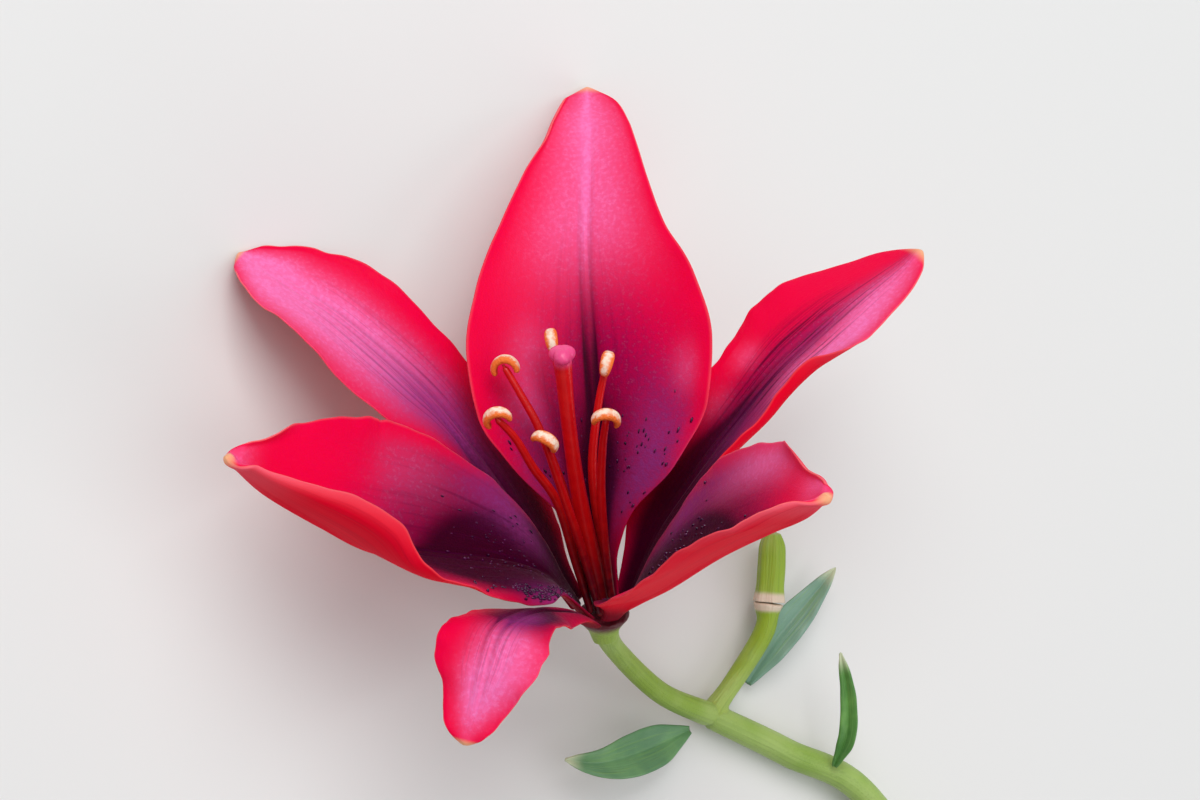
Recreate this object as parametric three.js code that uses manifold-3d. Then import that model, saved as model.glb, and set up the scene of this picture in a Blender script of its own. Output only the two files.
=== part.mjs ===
// Asiatic lily: one open bloom on its cut stem, laid down on a table. Millimetres, +Z up.
import * as THREE from 'three';
import Module from 'manifold-3d';

const wasm = await Module();
wasm.setup();

// The bloom frame has x to its right, y to its back and z along its axis, with the receptacle at 0, 0, 0.
// The plant frame has x to the right, y up the picture and z toward the viewer, with the same origin.
const bloomLeansLeft = 3;
const bloomFacesViewer = 30;

// How the cut flower lies: the plant frame turned about its y, then about its x, then moved over the table.
const layTurn = 28.373;
const layRoll = -1.724;
const tableShift = [-13.09, 21.77, 24.119];

// Tepal thickness along the midrib, at the margin, and of the knob at the tip.
const midribThickness = 1.15;
const marginThickness = 0.7;
const clawThickness = 0.8;
const knobThickness = 0.7;

// Tepals. clock: degrees from the back toward the right, round the bloom's axis.
// spine: [out, up, sideways] from the axis. width: [along, left half, right half].
// fold and curl: degrees that each half turns inward from the midrib and at the margin.
const tepals = {
  tepal_top: {
    clock: 2, roundFrom: 0.9, rows: 24, columns: 14,
    spine: [[3.9, 0.6, 0], [7.4, 15, 0], [11.2, 29, 0], [19, 43, -0.5], [32, 56, -1],
      [49, 66.6, -0.5], [66.4, 72.2, -0.2]],
    width: [[0, 3.2, 3.2], [0.08, 3.9, 3.6], [0.14, 6, 5.2], [0.2, 8.8, 7.8], [0.3, 16.5, 16], [0.4, 22, 22],
      [0.5, 23, 23.2], [0.6, 20.5, 20.4], [0.7, 15.5, 14.8], [0.8, 10.7, 11], [0.9, 7.3, 8], [1, 6, 6.4]],
    fold: [[0, 8, 8], [0.1, 30, 30], [0.4, 16, 16], [0.8, 8, 8], [1, 0, 0]],
    curl: [[0, 45, 45], [0.1, 35, 35], [0.5, 20, 20], [1, 40, 20]],
    ruffle: [[0.5, 3, 0], [0.5, 3, 0.3]],
  },
  tepal_upper_right: {
    clock: 62, roundFrom: 0.93, rows: 22, columns: 12,
    spine: [[5, 0.6, 0], [12, 13, 0], [21, 23, 0], [29.2, 30.5, 0], [37, 37.2, 0], [45, 42, 0], [54, 46.5, 0],
      [68.5, 52.5, 0]],
    width: [[0, 3, 3], [0.08, 4.4, 3.4], [0.15, 7, 6], [0.3, 9.2, 10.5], [0.5, 11.5, 14.5], [0.68, 15, 14.8],
      [0.8, 14.5, 12.8], [0.92, 9, 8.5], [1, 4, 4]],
    fold: [[0, 6, 6], [0.1, 20, 12], [0.25, 16, 14], [0.5, 10, 12], [1, 0, 0]],
    curl: [[0, 38, 38], [0.5, 10, 50], [0.75, 0, 30], [1, 10, 0]],
    ruffle: [[0.8, 3, 0], [0.8, 3, 0.3]],
  },
  tepal_right: {
    clock: 145, roundFrom: 0.9, rows: 22, columns: 14,
    spine: [[3.9, 0.6, 0], [9.5, 6.9, 0], [20.5, 16.3, 0], [34.7, 29.5, 0], [48, 40.6, 0], [56.7, 47.5, 0],
      [63.5, 54, 0]],
    width: [[0, 3.1, 3.1], [0.08, 3.8, 3.8], [0.2, 12, 9], [0.3, 17, 13], [0.4, 19.5, 16], [0.5, 20, 17.5],
      [0.6, 18.5, 17], [0.7, 14, 15], [0.8, 9.5, 12], [0.93, 5.5, 7], [1, 2, 2]],
    fold: [[0, 8, 8], [0.1, 30, 15], [0.2, 40, 16], [0.3, 45, 6], [0.5, 45, 3], [0.7, 45, 8], [1, 45, 15]],
    curl: [[0, 45, 45], [0.1, 20, 20], [0.3, 10, 0], [0.5, 10, 0], [1, 0, 10]],
    ruffle: [[0.8, 3, 0], [0.5, 3, 0.3]],
  },
  tepal_bottom: {
    clock: 205, roundFrom: 0.92, rows: 24, columns: 12,
    spine: [[5.45, 0.5, 0], [12.5, 7.6, 0], [23.5, 15.2, 0], [34, 20.5, 0], [42, 22.5, 0], [47.5, 19, 0],
      [51.5, 14, 0], [56, 9, 0]],
    width: [[0, 2, 2], [0.08, 2.7, 2.7], [0.15, 3.6, 3.8], [0.25, 5, 5], [0.31, 6.2, 8], [0.36, 6.8, 9.6],
      [0.42, 7.4, 9.2], [0.5, 8.4, 9.4], [0.6, 9.8, 9.6], [0.7, 9.8, 9.2],
      [0.8, 7.8, 6.8], [0.92, 4.8, 4.8], [1, 3, 3]],
    fold: [[0, 2, 2], [0.1, -8, -5], [0.25, -20, -18], [0.35, -12, -12], [0.5, -10, -2],
      [0.65, -5, -5], [1, 5, 5]],
    curl: [[0, 25, 25], [0.1, 0, 0], [0.5, 0, 0], [1, 10, 10]],
    ruffle: [[0.8, 3, 0], [0.8, 3, 0.3]],
  },
  tepal_left: {
    clock: 245, roundFrom: 0.94, rows: 24, columns: 14,
    spine: [[3.9, 0.6, 0], [10.8, 10.8, 0], [19, 16.7, 0], [31.4, 22.2, 0], [42.5, 27.6, 0], [51, 35.3, 0],
      [60, 44.5, 0], [66.4, 53, 0]],
    width: [[0, 3.1, 3.1], [0.08, 3.5, 3.7], [0.12, 5, 6], [0.2, 10.5, 12], [0.3, 12.5, 16.5],
      [0.4, 15.5, 21.5], [0.5, 17.5, 24], [0.62, 18, 23], [0.8, 13, 16], [0.93, 6, 6.5], [1, 2, 2]],
    fold: [[0, 8, 8], [0.1, 5, 30], [0.3, 0, 40], [0.5, 5, 48], [0.7, 22, 47], [1, 28, 45]],
    curl: [[0, 45, 45], [0.1, 0, 20], [0.2, -22, 0], [0.3, -18, 0], [0.5, 20, 0], [1, 30, 0]],
    ruffle: [[0.8, 3, 0], [0.5, 3, 0.3]],
  },
  tepal_upper_left: {
    clock: 292, roundFrom: 0.94, rows: 22, columns: 12,
    spine: [[5.25, 0.6, 0], [12.6, 13.2, 0], [22, 27.6, 0], [31.6, 39.8, 0], [46, 52, 0], [57, 58.5, 0],
      [65.5, 63, 0]],
    width: [[0, 2.6, 2.6], [0.08, 2.9, 4], [0.15, 3, 7], [0.25, 3.4, 9.8], [0.36, 4.2, 11], [0.45, 7, 12.5],
      [0.54, 12, 13], [0.68, 14.6, 13], [0.82, 12.4, 11], [0.92, 8, 6], [1, 4, 2]],
    fold: [[0, 6, 6], [0.1, 0, 10], [0.2, -18, 10], [0.36, -24, 10], [0.46, -14, 12],
      [0.58, 0, 12], [0.72, 8, 10], [1, 5, 5]],
    curl: [[0, 38, 38], [0.12, 0, 10], [0.5, 10, 10], [1, 10, 10]],
    ruffle: [[0.8, 3, 0], [0.8, 3, 0.3]],
  },
};
// The tip rounds off to just short of nothing, and each half's curl is added up in steps.
const tipEnd = 1.004;
const curlSteps = 12;
const ruffleStart = 0.15;
const midribStart = 0.15;
const knobLength = 0.04;
const rowsTowardTip = 1.4;

// Stamens in the bloom frame. The filament starts on a ring round the ovary.
// arch: the direction across which the anther's two arms hang, in degrees round the bloom's axis.
// droop: degrees by which one arm hangs lower. arc: degrees through which the anther curls.
const filamentRing = 2.55;
const filamentBase = 0.9;
const filamentRadius = [0.6, 0.8, 0.8, 0.7, 0.6];
const stamens = {
  back: {
    clock: 350, arch: 180, droop: 50, arc: 150,
    path: [[-1.7, 3.3, 15.7], [-3.4, 5.4, 28.8], [-5, 8.8, 40], [-6.3, 11.7, 49.1]],
  },
  upper_left: {
    clock: 303, arch: 100, droop: 20, arc: 225,
    path: [[-3.4, 1.9, 12], [-6, 2.8, 25], [-9.4, 4.4, 36], [-12.2, 6, 42], [-14.7, 7.5, 46.7]],
  },
  left: {
    clock: 240, arch: 90, droop: 10, arc: 225,
    path: [[-4.3, -2.1, 12], [-6.9, -2.6, 25], [-10.7, -3.6, 33], [-13.4, -4.4, 39.5], [-16.2, -5.3, 44]],
  },
  front: {
    clock: 190, arch: 120, droop: 30, arc: 205,
    path: [[-2.9, -4, 15], [-4.9, -5.8, 25], [-6.9, -7.8, 34.5], [-8.3, -10.5, 42]],
  },
  right_front: {
    clock: 130, arch: 90, droop: 10, arc: 225,
    path: [[1, -2.8, 15], [0.8, -4, 28], [1.5, -6, 38], [2.3, -8.1, 44.3]],
  },
  right_back: {
    clock: 55, arch: 190, droop: 35, arc: 180,
    path: [[0.2, 2.6, 15], [-0.5, 3.8, 28], [1.1, 5.4, 39.5], [2.9, 6.3, 47]],
  },
};

// Anther: an arched pollen sac whose middle sits a little over the filament's end.
const antherArcRadius = 2.0;
const antherHalfWidth = 1.15;
const antherHalfDepth = 0.85;
const antherGap = 0.8;
const antherEnd = 0.45;
const antherRows = 14;
const antherSides = 10;

// Pistil in the bloom frame: ovary, style and a three-lobed stigma.
const pistilPath = [[0, 0, 0.7], [-1.6, -0.7, 13], [-3.2, -1.4, 27], [-4.1, -1.2, 40], [-4.6, -0.1, 53]];
const pistilRadius = [1.5, 1.75, 1.6, 1.4, 1.3, 1.35, 1.6];
const stigmaLobe = [1.5, 1.5, 1.7];
const stigmaLobeOut = 1.0;

// Receptacle: a low cone under the tepals, [radius, height along the bloom's axis].
const receptacleProfile = [[0, -6], [2.1, -6], [2.9, -3.2], [4.2, -1.3], [4.9, -0.5], [4.6, 0], [0, 0]];
const receptacleSides = 24;

// Stem in the plant frame: the bloom's pedicel, a spent flower's pedicel, and the main stem to its cut end.
const junction = [20.2, -21.6, -34];
const pedicelPath = [[0.1, -2.6, -1.5], [2.3, -7.4, -9], [10.6, -16.2, -21], junction];
const pedicelRadius = [2.6, 2.0, 2.0, 2.1, 2.4];
const spentPedicelPath = [junction, [25.5, -14, -37], [31.4, -0.6, -37]];
const spentPedicelRadius = [2.3, 1.9, 2.0, 2.7];
const stemPath = [junction, [35, -29.5, -43], [51.7, -39.6, -50], [70, -72, -60], [78, -138, -71]];
const stemRadius = [2.5, 2.7, 2.7, 2.8, 2.9];
const spentOvaryPath = [[31.5, 0.6, -37], [31.9, 6.5, -37], [32.1, 13.2, -36.5]];
const spentOvaryRadius = [2.5, 2.6, 2.5, 2.3, 1.2];
const ringSides = 16;

// Leaves in the plant frame: a spine, the half width along it, and the angle at which each half folds up.
const leafThickness = 0.9;
const leaves = {
  leaf_left: {
    fold: 25, half: [1.6, 4.2, 4.4, 2.6, 0.6],
    path: [[16.3, -24.1, -31], [8, -27, -24], [0, -28.5, -16], [-7, -27.7, -12]],
  },
  leaf_right: {
    fold: 25, half: [1.4, 3.4, 3.6, 2.4, 0.6],
    path: [[27.6, -16.3, -40.3], [33, -8, -41.5], [39, -1, -42.5], [44.6, 5.8, -43]],
  },
  bract: {
    fold: 30, half: [1.0, 1.9, 1.9, 1.5, 0.5],
    path: [[44.3, -32.3, -42.5], [46.5, -26, -39.5], [46.5, -18, -37.5], [45, -9.9, -36]],
  },
};

const colours = {
  petal: 0xc4123c,
  filament: 0xb80f1e,
  anther: 0xf3c9a0,
  pistil: 0xb01030,
  stem: 0x8aa83a,
  leaf: 0x4f8a3c,
};

const radians = (degrees) => degrees * Math.PI / 180;

function bloomToPlant() {
  const lean = radians(bloomLeansLeft);
  const face = radians(bloomFacesViewer);
  const upPicture = Math.cos(face);
  const axis = new THREE.Vector3(-Math.sin(lean) * upPicture, Math.cos(lean) * upPicture, Math.sin(face));
  const right = new THREE.Vector3(Math.cos(lean), Math.sin(lean), 0);
  const back = axis.clone().cross(right);
  return new THREE.Matrix4().makeBasis(right, back, axis);
}

function plantToTable() {
  const turn = new THREE.Matrix4().makeRotationY(radians(-layTurn));
  const roll = new THREE.Matrix4().makeRotationX(radians(layRoll));
  return new THREE.Matrix4().makeTranslation(...tableShift).multiply(roll).multiply(turn);
}

const plantMatrix = plantToTable();
const bloomMatrix = plantMatrix.clone().multiply(bloomToPlant());

// A value at a place along a table of rows [place, a, b, ...], by monotone cubics.
function tableSlope(rows, k, column) {
  const rise = (i) => (rows[i + 1][column] - rows[i][column]) / (rows[i + 1][0] - rows[i][0]);
  if (k === 0) return rise(0);
  if (k === rows.length - 1) return rise(k - 1);
  const before = rise(k - 1);
  const after = rise(k);
  return before * after > 0 ? 2 * before * after / (before + after) : 0;
}

function tableValue(rows, place, column) {
  const at = Math.min(Math.max(place, rows[0][0]), rows[rows.length - 1][0]);
  let i = 0;
  while (i < rows.length - 2 && at >= rows[i + 1][0]) i += 1;
  const h = rows[i + 1][0] - rows[i][0];
  const t = (at - rows[i][0]) / h;
  const start = rows[i][column];
  const end = rows[i + 1][column];
  const startSlope = tableSlope(rows, i, column) * h;
  const endSlope = tableSlope(rows, i + 1, column) * h;
  return (2 * t ** 3 - 3 * t ** 2 + 1) * start + (t ** 3 - 2 * t ** 2 + t) * startSlope
    + (3 * t ** 2 - 2 * t ** 3) * end + (t ** 3 - t ** 2) * endSlope;
}

// A point at u of 0 to 1 on the smooth curve through points that are evenly spread in u.
function curvePoint(points, u) {
  const last = points.length - 1;
  const f = Math.min(Math.max(u, 0), 1) * last;
  const i = Math.min(Math.floor(f), last - 1);
  const t = f - i;
  return points[i].map((here, axis) => {
    const next = points[i + 1][axis];
    const before = i > 0 ? points[i - 1][axis] : 2 * here - next;
    const after = i + 2 <= last ? points[i + 2][axis] : 2 * next - here;
    return 0.5 * (2 * here + (next - before) * t + (2 * before - 5 * here + 4 * next - after) * t * t
      + (3 * here - before - 3 * next + after) * t ** 3);
  });
}

const along = (values, u) => curvePoint(values.map((value) => [value]), u)[0];

// A point of a tepal's mid surface in the bloom frame: u from claw to tip, v from left to right margin.
function tepalPoint(tepal, u, v) {
  const clock = radians(tepal.clock);
  const outward = new THREE.Vector3(Math.sin(clock), Math.cos(clock), 0);
  const sideways = new THREE.Vector3(Math.cos(clock), -Math.sin(clock), 0);
  const place = (w) => {
    const [out, up, side] = curvePoint(tepal.spine, w);
    const point = outward.clone().multiplyScalar(out).addScaledVector(sideways, side);
    point.z += up;
    return point;
  };
  const step = 1e-3;
  const tangent = place(Math.min(u + step, 1)).sub(place(Math.max(u - step, 0))).normalize();
  const across = sideways.clone().addScaledVector(tangent, -sideways.dot(tangent)).normalize();
  const inward = across.clone().cross(tangent);
  const column = v < 0 ? 1 : 2;
  const reach = Math.abs(v);
  let half = tableValue(tepal.width, u, column);
  if (u > tepal.roundFrom) {
    half *= Math.sqrt(1 - ((u - tepal.roundFrom) / (tipEnd - tepal.roundFrom)) ** 2);
  }
  const fold = tableValue(tepal.fold, u, column);
  const curl = tableValue(tepal.curl, u, column);
  const point = place(u);
  const steps = Math.max(1, Math.round(curlSteps * reach));
  for (let k = 0; k < steps; k += 1) {
    const c = (k + 0.5) / steps * reach;
    const angle = radians(fold + curl * c * c);
    point.addScaledVector(across, half * reach / steps * Math.cos(angle) * Math.sign(v));
    point.addScaledVector(inward, half * reach / steps * Math.sin(angle));
  }
  const [height, waves, phase] = tepal.ruffle[column - 1];
  const pastStart = Math.max(0, (u - ruffleStart) / (1 - ruffleStart));
  const fade = Math.sqrt(Math.max(0, Math.sin(Math.PI * pastStart)));
  const wave = Math.sin(2 * Math.PI * (waves * u + phase));
  point.addScaledVector(inward, height * fade * wave * reach ** 3);
  return point;
}

function tepalThickness(u, v) {
  const middle = clawThickness + (midribThickness - clawThickness) * Math.min(1, u / midribStart);
  const knob = knobThickness * Math.exp(-(((1 - u) / knobLength) ** 2));
  return marginThickness + (middle - marginThickness) * (1 - v * v) + knob * (1 - v * v);
}

// A closed solid round a mid surface, split into the same triangles on both faces.
function bladeGeometry(surface, thickness, rows, columns, endPower) {
  const us = Array.from({ length: rows + 1 }, (_, i) => 1 - (1 - i / rows) ** endPower);
  const vs = Array.from({ length: columns + 1 }, (_, j) => 2 * j / columns - 1);
  const step = 2e-3;
  const faces = [[], []];
  for (const u of us) {
    for (const v of vs) {
      const point = surface(u, v);
      const du = surface(Math.min(u + step, 1), v).sub(surface(Math.max(u - step, 0), v));
      const dv = surface(u, Math.min(v + step, 1)).sub(surface(u, Math.max(v - step, -1)));
      const normal = dv.cross(du).normalize();
      faces[0].push(point.clone().addScaledVector(normal, thickness(u, v) / 2));
      faces[1].push(point.clone().addScaledVector(normal, -thickness(u, v) / 2));
    }
  }
  const positions = [...faces[0], ...faces[1]].flatMap((point) => [point.x, point.y, point.z]);
  const width = columns + 1;
  const other = faces[0].length;
  const index = [];
  for (let i = 0; i < rows; i += 1) {
    for (let j = 0; j < columns; j += 1) {
      const a = i * width + j;
      const b = a + 1;
      const c = a + width;
      const d = c + 1;
      index.push(a, b, d, a, d, c);
      index.push(other + a, other + d, other + b, other + a, other + c, other + d);
    }
  }
  const wall = (a, b) => index.push(a, other + a, other + b, a, other + b, b);
  for (let j = 0; j < columns; j += 1) {
    wall(j, j + 1);
    wall(rows * width + j + 1, rows * width + j);
  }
  for (let i = 0; i < rows; i += 1) {
    wall((i + 1) * width, i * width);
    wall(i * width + columns, (i + 1) * width + columns);
  }
  const geometry = new THREE.BufferGeometry();
  geometry.setAttribute('position', new THREE.Float32BufferAttribute(positions, 3));
  geometry.setIndex(index);
  return geometry;
}

// A closed limb swept along a curve. The first half axis of its section stays along the given direction.
function limbGeometry(points, halfWidth, halfDepth, rows, sides, direction) {
  const places = Array.from({ length: rows + 1 }, (_, i) => i / rows);
  const middle = places.map((u) => new THREE.Vector3(...curvePoint(points, u)));
  const positions = [];
  let across = direction.clone();
  middle.forEach((point, i) => {
    const tangent = middle[Math.min(i + 1, rows)].clone().sub(middle[Math.max(i - 1, 0)]).normalize();
    across = across.addScaledVector(tangent, -across.dot(tangent)).normalize();
    const deep = tangent.clone().cross(across);
    for (let k = 0; k < sides; k += 1) {
      const turn = 2 * Math.PI * k / sides;
      const corner = point.clone().addScaledVector(across, halfWidth(i / rows) * Math.cos(turn))
        .addScaledVector(deep, halfDepth(i / rows) * Math.sin(turn));
      positions.push(corner.x, corner.y, corner.z);
    }
  });
  const index = [];
  for (let i = 0; i < rows; i += 1) {
    for (let k = 0; k < sides; k += 1) {
      const a = i * sides + k;
      const b = i * sides + (k + 1) % sides;
      index.push(a, b, b + sides, a, b + sides, a + sides);
    }
  }
  const ends = [middle[0], middle[rows]];
  ends.forEach((point) => positions.push(point.x, point.y, point.z));
  const first = (rows + 1) * sides;
  for (let k = 0; k < sides; k += 1) {
    index.push(first, (k + 1) % sides, k);
    index.push(first + 1, rows * sides + k, rows * sides + (k + 1) % sides);
  }
  const geometry = new THREE.BufferGeometry();
  geometry.setAttribute('position', new THREE.Float32BufferAttribute(positions, 3));
  geometry.setIndex(index);
  return geometry;
}

function roundLimb(points, radii, rows, sides) {
  const radius = (u) => along(radii, u);
  return limbGeometry(points, radius, radius, rows, sides, new THREE.Vector3(0.2, 0.9, 0.4));
}

function toSolid(geometry) {
  return new wasm.Manifold(new wasm.Mesh({
    numProp: 3,
    vertProperties: new Float32Array(geometry.attributes.position.array),
    triVerts: new Uint32Array(geometry.index.array),
  }));
}

function toGeometry(solid) {
  const mesh = solid.getMesh();
  const geometry = new THREE.BufferGeometry();
  geometry.setAttribute('position', new THREE.BufferAttribute(new Float32Array(mesh.vertProperties), 3));
  geometry.setIndex(new THREE.BufferAttribute(new Uint32Array(mesh.triVerts), 1));
  return geometry;
}

function joined(geometries) {
  return toGeometry(geometries.map(toSolid).reduce((whole, next) => whole.add(next)));
}

// Joins corners that share a place, which closes the seam and the poles of a turned shape.
function weld(source) {
  const position = source.attributes.position;
  const corners = new Map();
  const kept = [];
  const order = [];
  for (let i = 0; i < position.count; i += 1) {
    const corner = [position.getX(i), position.getY(i), position.getZ(i)];
    const key = corner.map((value) => value.toFixed(4)).join();
    if (!corners.has(key)) {
      corners.set(key, kept.length / 3);
      kept.push(...corner);
    }
    order.push(corners.get(key));
  }
  const index = [];
  for (let i = 0; i < source.index.count; i += 3) {
    const [a, b, c] = [0, 1, 2].map((k) => order[source.index.getX(i + k)]);
    if (a !== b && b !== c && c !== a) index.push(a, b, c);
  }
  const geometry = new THREE.BufferGeometry();
  geometry.setAttribute('position', new THREE.Float32BufferAttribute(kept, 3));
  geometry.setIndex(index);
  return geometry;
}

function ellipsoid(half, centre, turn) {
  const geometry = new THREE.SphereGeometry(1, 14, 10);
  geometry.scale(...half);
  geometry.rotateZ(turn);
  geometry.translate(...centre);
  return weld(geometry);
}

function tepal(shape) {
  const surface = (u, v) => tepalPoint(shape, u, v);
  return bladeGeometry(surface, tepalThickness, shape.rows, shape.columns, rowsTowardTip);
}

function filamentPath(stamen) {
  const clock = radians(stamen.clock);
  const start = [filamentRing * Math.sin(clock), filamentRing * Math.cos(clock), filamentBase];
  return [start, ...stamen.path];
}

function filament(stamen) {
  return roundLimb(filamentPath(stamen), filamentRadius, 14, 10);
}

// Two arms arch over the filament's end, with the filament under the middle of the arch.
function anther(stamen) {
  const tip = new THREE.Vector3(...curvePoint(filamentPath(stamen), 1));
  const up = tip.clone().sub(new THREE.Vector3(...curvePoint(filamentPath(stamen), 0.95))).normalize();
  const clock = radians(stamen.arch);
  const arm = new THREE.Vector3(Math.sin(clock), Math.cos(clock), 0);
  arm.addScaledVector(up, -arm.dot(up)).normalize();
  const side = up.clone().cross(arm);
  const droop = radians(stamen.droop);
  const armTurned = arm.clone().multiplyScalar(Math.cos(droop)).addScaledVector(up, -Math.sin(droop));
  const upTurned = arm.clone().multiplyScalar(Math.sin(droop)).addScaledVector(up, Math.cos(droop));
  const centre = tip.clone().addScaledVector(upTurned, antherGap + antherHalfDepth - antherArcRadius);
  const points = Array.from({ length: 7 }, (_, k) => {
    const turn = radians(stamen.arc) * (k / 6 - 0.5);
    return centre.clone().addScaledVector(armTurned, antherArcRadius * Math.sin(turn))
      .addScaledVector(upTurned, antherArcRadius * Math.cos(turn)).toArray();
  });
  const swell = (u) => antherEnd + (1 - antherEnd) * Math.sqrt(Math.max(0, Math.sin(Math.PI * u)));
  const halfWidth = (u) => antherHalfWidth * swell(u);
  const halfDepth = (u) => antherHalfDepth * swell(u);
  return limbGeometry(points, halfWidth, halfDepth, antherRows, antherSides, side);
}

function pistil() {
  const style = roundLimb(pistilPath, pistilRadius, 20, 14);
  const top = pistilPath[pistilPath.length - 1];
  const lobes = [0, 1, 2].map((k) => {
    const turn = radians(30 + 120 * k);
    const centre = [top[0] + stigmaLobeOut * Math.cos(turn), top[1] + stigmaLobeOut * Math.sin(turn), top[2]];
    return ellipsoid(stigmaLobe, centre, turn);
  });
  return joined([style, ...lobes]);
}

function receptacle() {
  const profile = receptacleProfile.map(([radius, height]) => new THREE.Vector2(radius, height));
  const lathe = new THREE.LatheGeometry(profile, receptacleSides);
  lathe.rotateX(Math.PI / 2);
  lathe.applyMatrix4(bloomToPlant());
  return weld(lathe);
}

function stem() {
  return joined([
    receptacle(),
    roundLimb(pedicelPath, pedicelRadius, 16, ringSides),
    roundLimb(spentPedicelPath, spentPedicelRadius, 12, ringSides),
    roundLimb(stemPath, stemRadius, 24, ringSides),
  ]);
}

function spentOvary() {
  return roundLimb(spentOvaryPath, spentOvaryRadius, 10, 12);
}

function leaf(shape) {
  const surface = (u, v) => {
    const point = new THREE.Vector3(...curvePoint(shape.path, u));
    const step = 1e-3;
    const ahead = new THREE.Vector3(...curvePoint(shape.path, Math.min(u + step, 1)));
    const behind = new THREE.Vector3(...curvePoint(shape.path, Math.max(u - step, 0)));
    const tangent = ahead.sub(behind).normalize();
    const viewer = new THREE.Vector3(0, 0, 1);
    const across = tangent.clone().cross(viewer).normalize();
    const inward = across.clone().cross(tangent);
    const half = along(shape.half, u);
    point.addScaledVector(across, half * v * Math.cos(radians(shape.fold)));
    point.addScaledVector(inward, half * Math.abs(v) * Math.sin(radians(shape.fold)));
    return point;
  };
  return bladeGeometry(surface, () => leafThickness, 12, 6, 1.2);
}

function piece(name, geometry, matrix, slot) {
  geometry.applyMatrix4(matrix);
  const material = new THREE.MeshStandardMaterial({ color: colours[slot], roughness: 0.55, metalness: 0 });
  const mesh = new THREE.Mesh(geometry, material);
  mesh.name = name;
  return mesh;
}

const lily = new THREE.Group();
lily.name = 'asiatic_lily';
for (const [name, shape] of Object.entries(tepals)) {
  lily.add(piece(name, tepal(shape), bloomMatrix, 'petal'));
}
for (const [name, stamen] of Object.entries(stamens)) {
  lily.add(piece(`filament_${name}`, filament(stamen), bloomMatrix, 'filament'));
  lily.add(piece(`anther_${name}`, anther(stamen), bloomMatrix, 'anther'));
}
lily.add(piece('pistil', pistil(), bloomMatrix, 'pistil'));
lily.add(piece('stem', stem(), plantMatrix, 'stem'));
lily.add(piece('spent_ovary', spentOvary(), plantMatrix, 'stem'));
for (const [name, shape] of Object.entries(leaves)) {
  lily.add(piece(name, leaf(shape), plantMatrix, 'leaf'));
}

export default lily;
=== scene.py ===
import math

import bmesh
import bpy
import numpy as np
from mathutils import Matrix, Vector


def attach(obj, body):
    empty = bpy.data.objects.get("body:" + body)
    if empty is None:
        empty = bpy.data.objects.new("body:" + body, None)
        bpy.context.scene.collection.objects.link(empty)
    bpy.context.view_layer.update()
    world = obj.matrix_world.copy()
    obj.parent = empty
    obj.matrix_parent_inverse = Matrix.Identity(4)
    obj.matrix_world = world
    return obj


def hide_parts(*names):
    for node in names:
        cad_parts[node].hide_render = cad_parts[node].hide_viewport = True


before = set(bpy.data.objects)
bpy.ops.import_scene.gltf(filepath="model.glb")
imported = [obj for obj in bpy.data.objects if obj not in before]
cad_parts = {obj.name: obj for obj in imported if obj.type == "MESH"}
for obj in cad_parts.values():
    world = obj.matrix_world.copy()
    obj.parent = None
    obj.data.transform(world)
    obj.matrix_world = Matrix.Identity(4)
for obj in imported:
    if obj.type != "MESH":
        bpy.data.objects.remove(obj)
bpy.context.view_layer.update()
print("frame loaded")

# Lengths are in millimetres until a mesh is placed.
metre = 0.001

# The bloom frame has z along the bloom's axis, and the plant frame is upright as in the photo.
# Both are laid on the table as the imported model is.
lay = {
    "leansLeft": 3, "facesViewer": 30, "turn": 28.373, "roll": -1.724,
    "shift": (-13.09, 21.77, 24.119),
}


def turned(axis, degrees):
    return np.array(Matrix.Rotation(math.radians(degrees), 3, axis))


def bloomBasis():
    lean, face = math.radians(lay["leansLeft"]), math.radians(lay["facesViewer"])
    axis = np.array([-math.sin(lean) * math.cos(face), math.cos(lean) * math.cos(face), math.sin(face)])
    right = np.array([math.cos(lean), math.sin(lean), 0])
    return np.stack([right, np.cross(axis, right), axis], axis=1)


plantToTable = turned("X", lay["roll"]) @ turned("Y", -lay["turn"])
bloomToTable = plantToTable @ bloomBasis()


def onTable(points, basis):
    return (points @ basis.T + np.array(lay["shift"])) * metre


# Curves and tables

def unit(vectors):
    return vectors / np.maximum(np.linalg.norm(vectors, axis=-1, keepdims=True), 1e-12)


def curveAt(points, u):
    points = np.asarray(points, float)
    last = len(points) - 1
    place = np.clip(np.asarray(u, float), 0, 1) * last
    i = np.minimum(place.astype(int), last - 1)
    t = (place - i)[:, None]
    here, ahead = points[i], points[i + 1]
    before = np.where((i > 0)[:, None], points[np.maximum(i - 1, 0)], 2 * here - ahead)
    after = np.where((i + 2 <= last)[:, None], points[np.minimum(i + 2, last)], 2 * ahead - here)
    cubic = 3 * here - before - 3 * ahead + after
    square = 2 * before - 5 * here + 4 * ahead - after
    return 0.5 * (2 * here + (ahead - before) * t + square * t ** 2 + cubic * t ** 3)


def valueAlong(values, u):
    return curveAt([[value] for value in values], u)[:, 0]


def tangentOf(curve, u):
    step = 1e-3
    return unit(curve(np.minimum(u + step, 1)) - curve(np.maximum(u - step, 0)))


def surfaceNormal(pointAt, u, v):
    step = 2e-3
    alongWay = pointAt(np.minimum(u + step, 1), v) - pointAt(np.maximum(u - step, 0), v)
    acrossWay = pointAt(u, np.minimum(v + step, 1)) - pointAt(u, np.maximum(v - step, -1))
    return unit(np.cross(acrossWay, alongWay))


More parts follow.
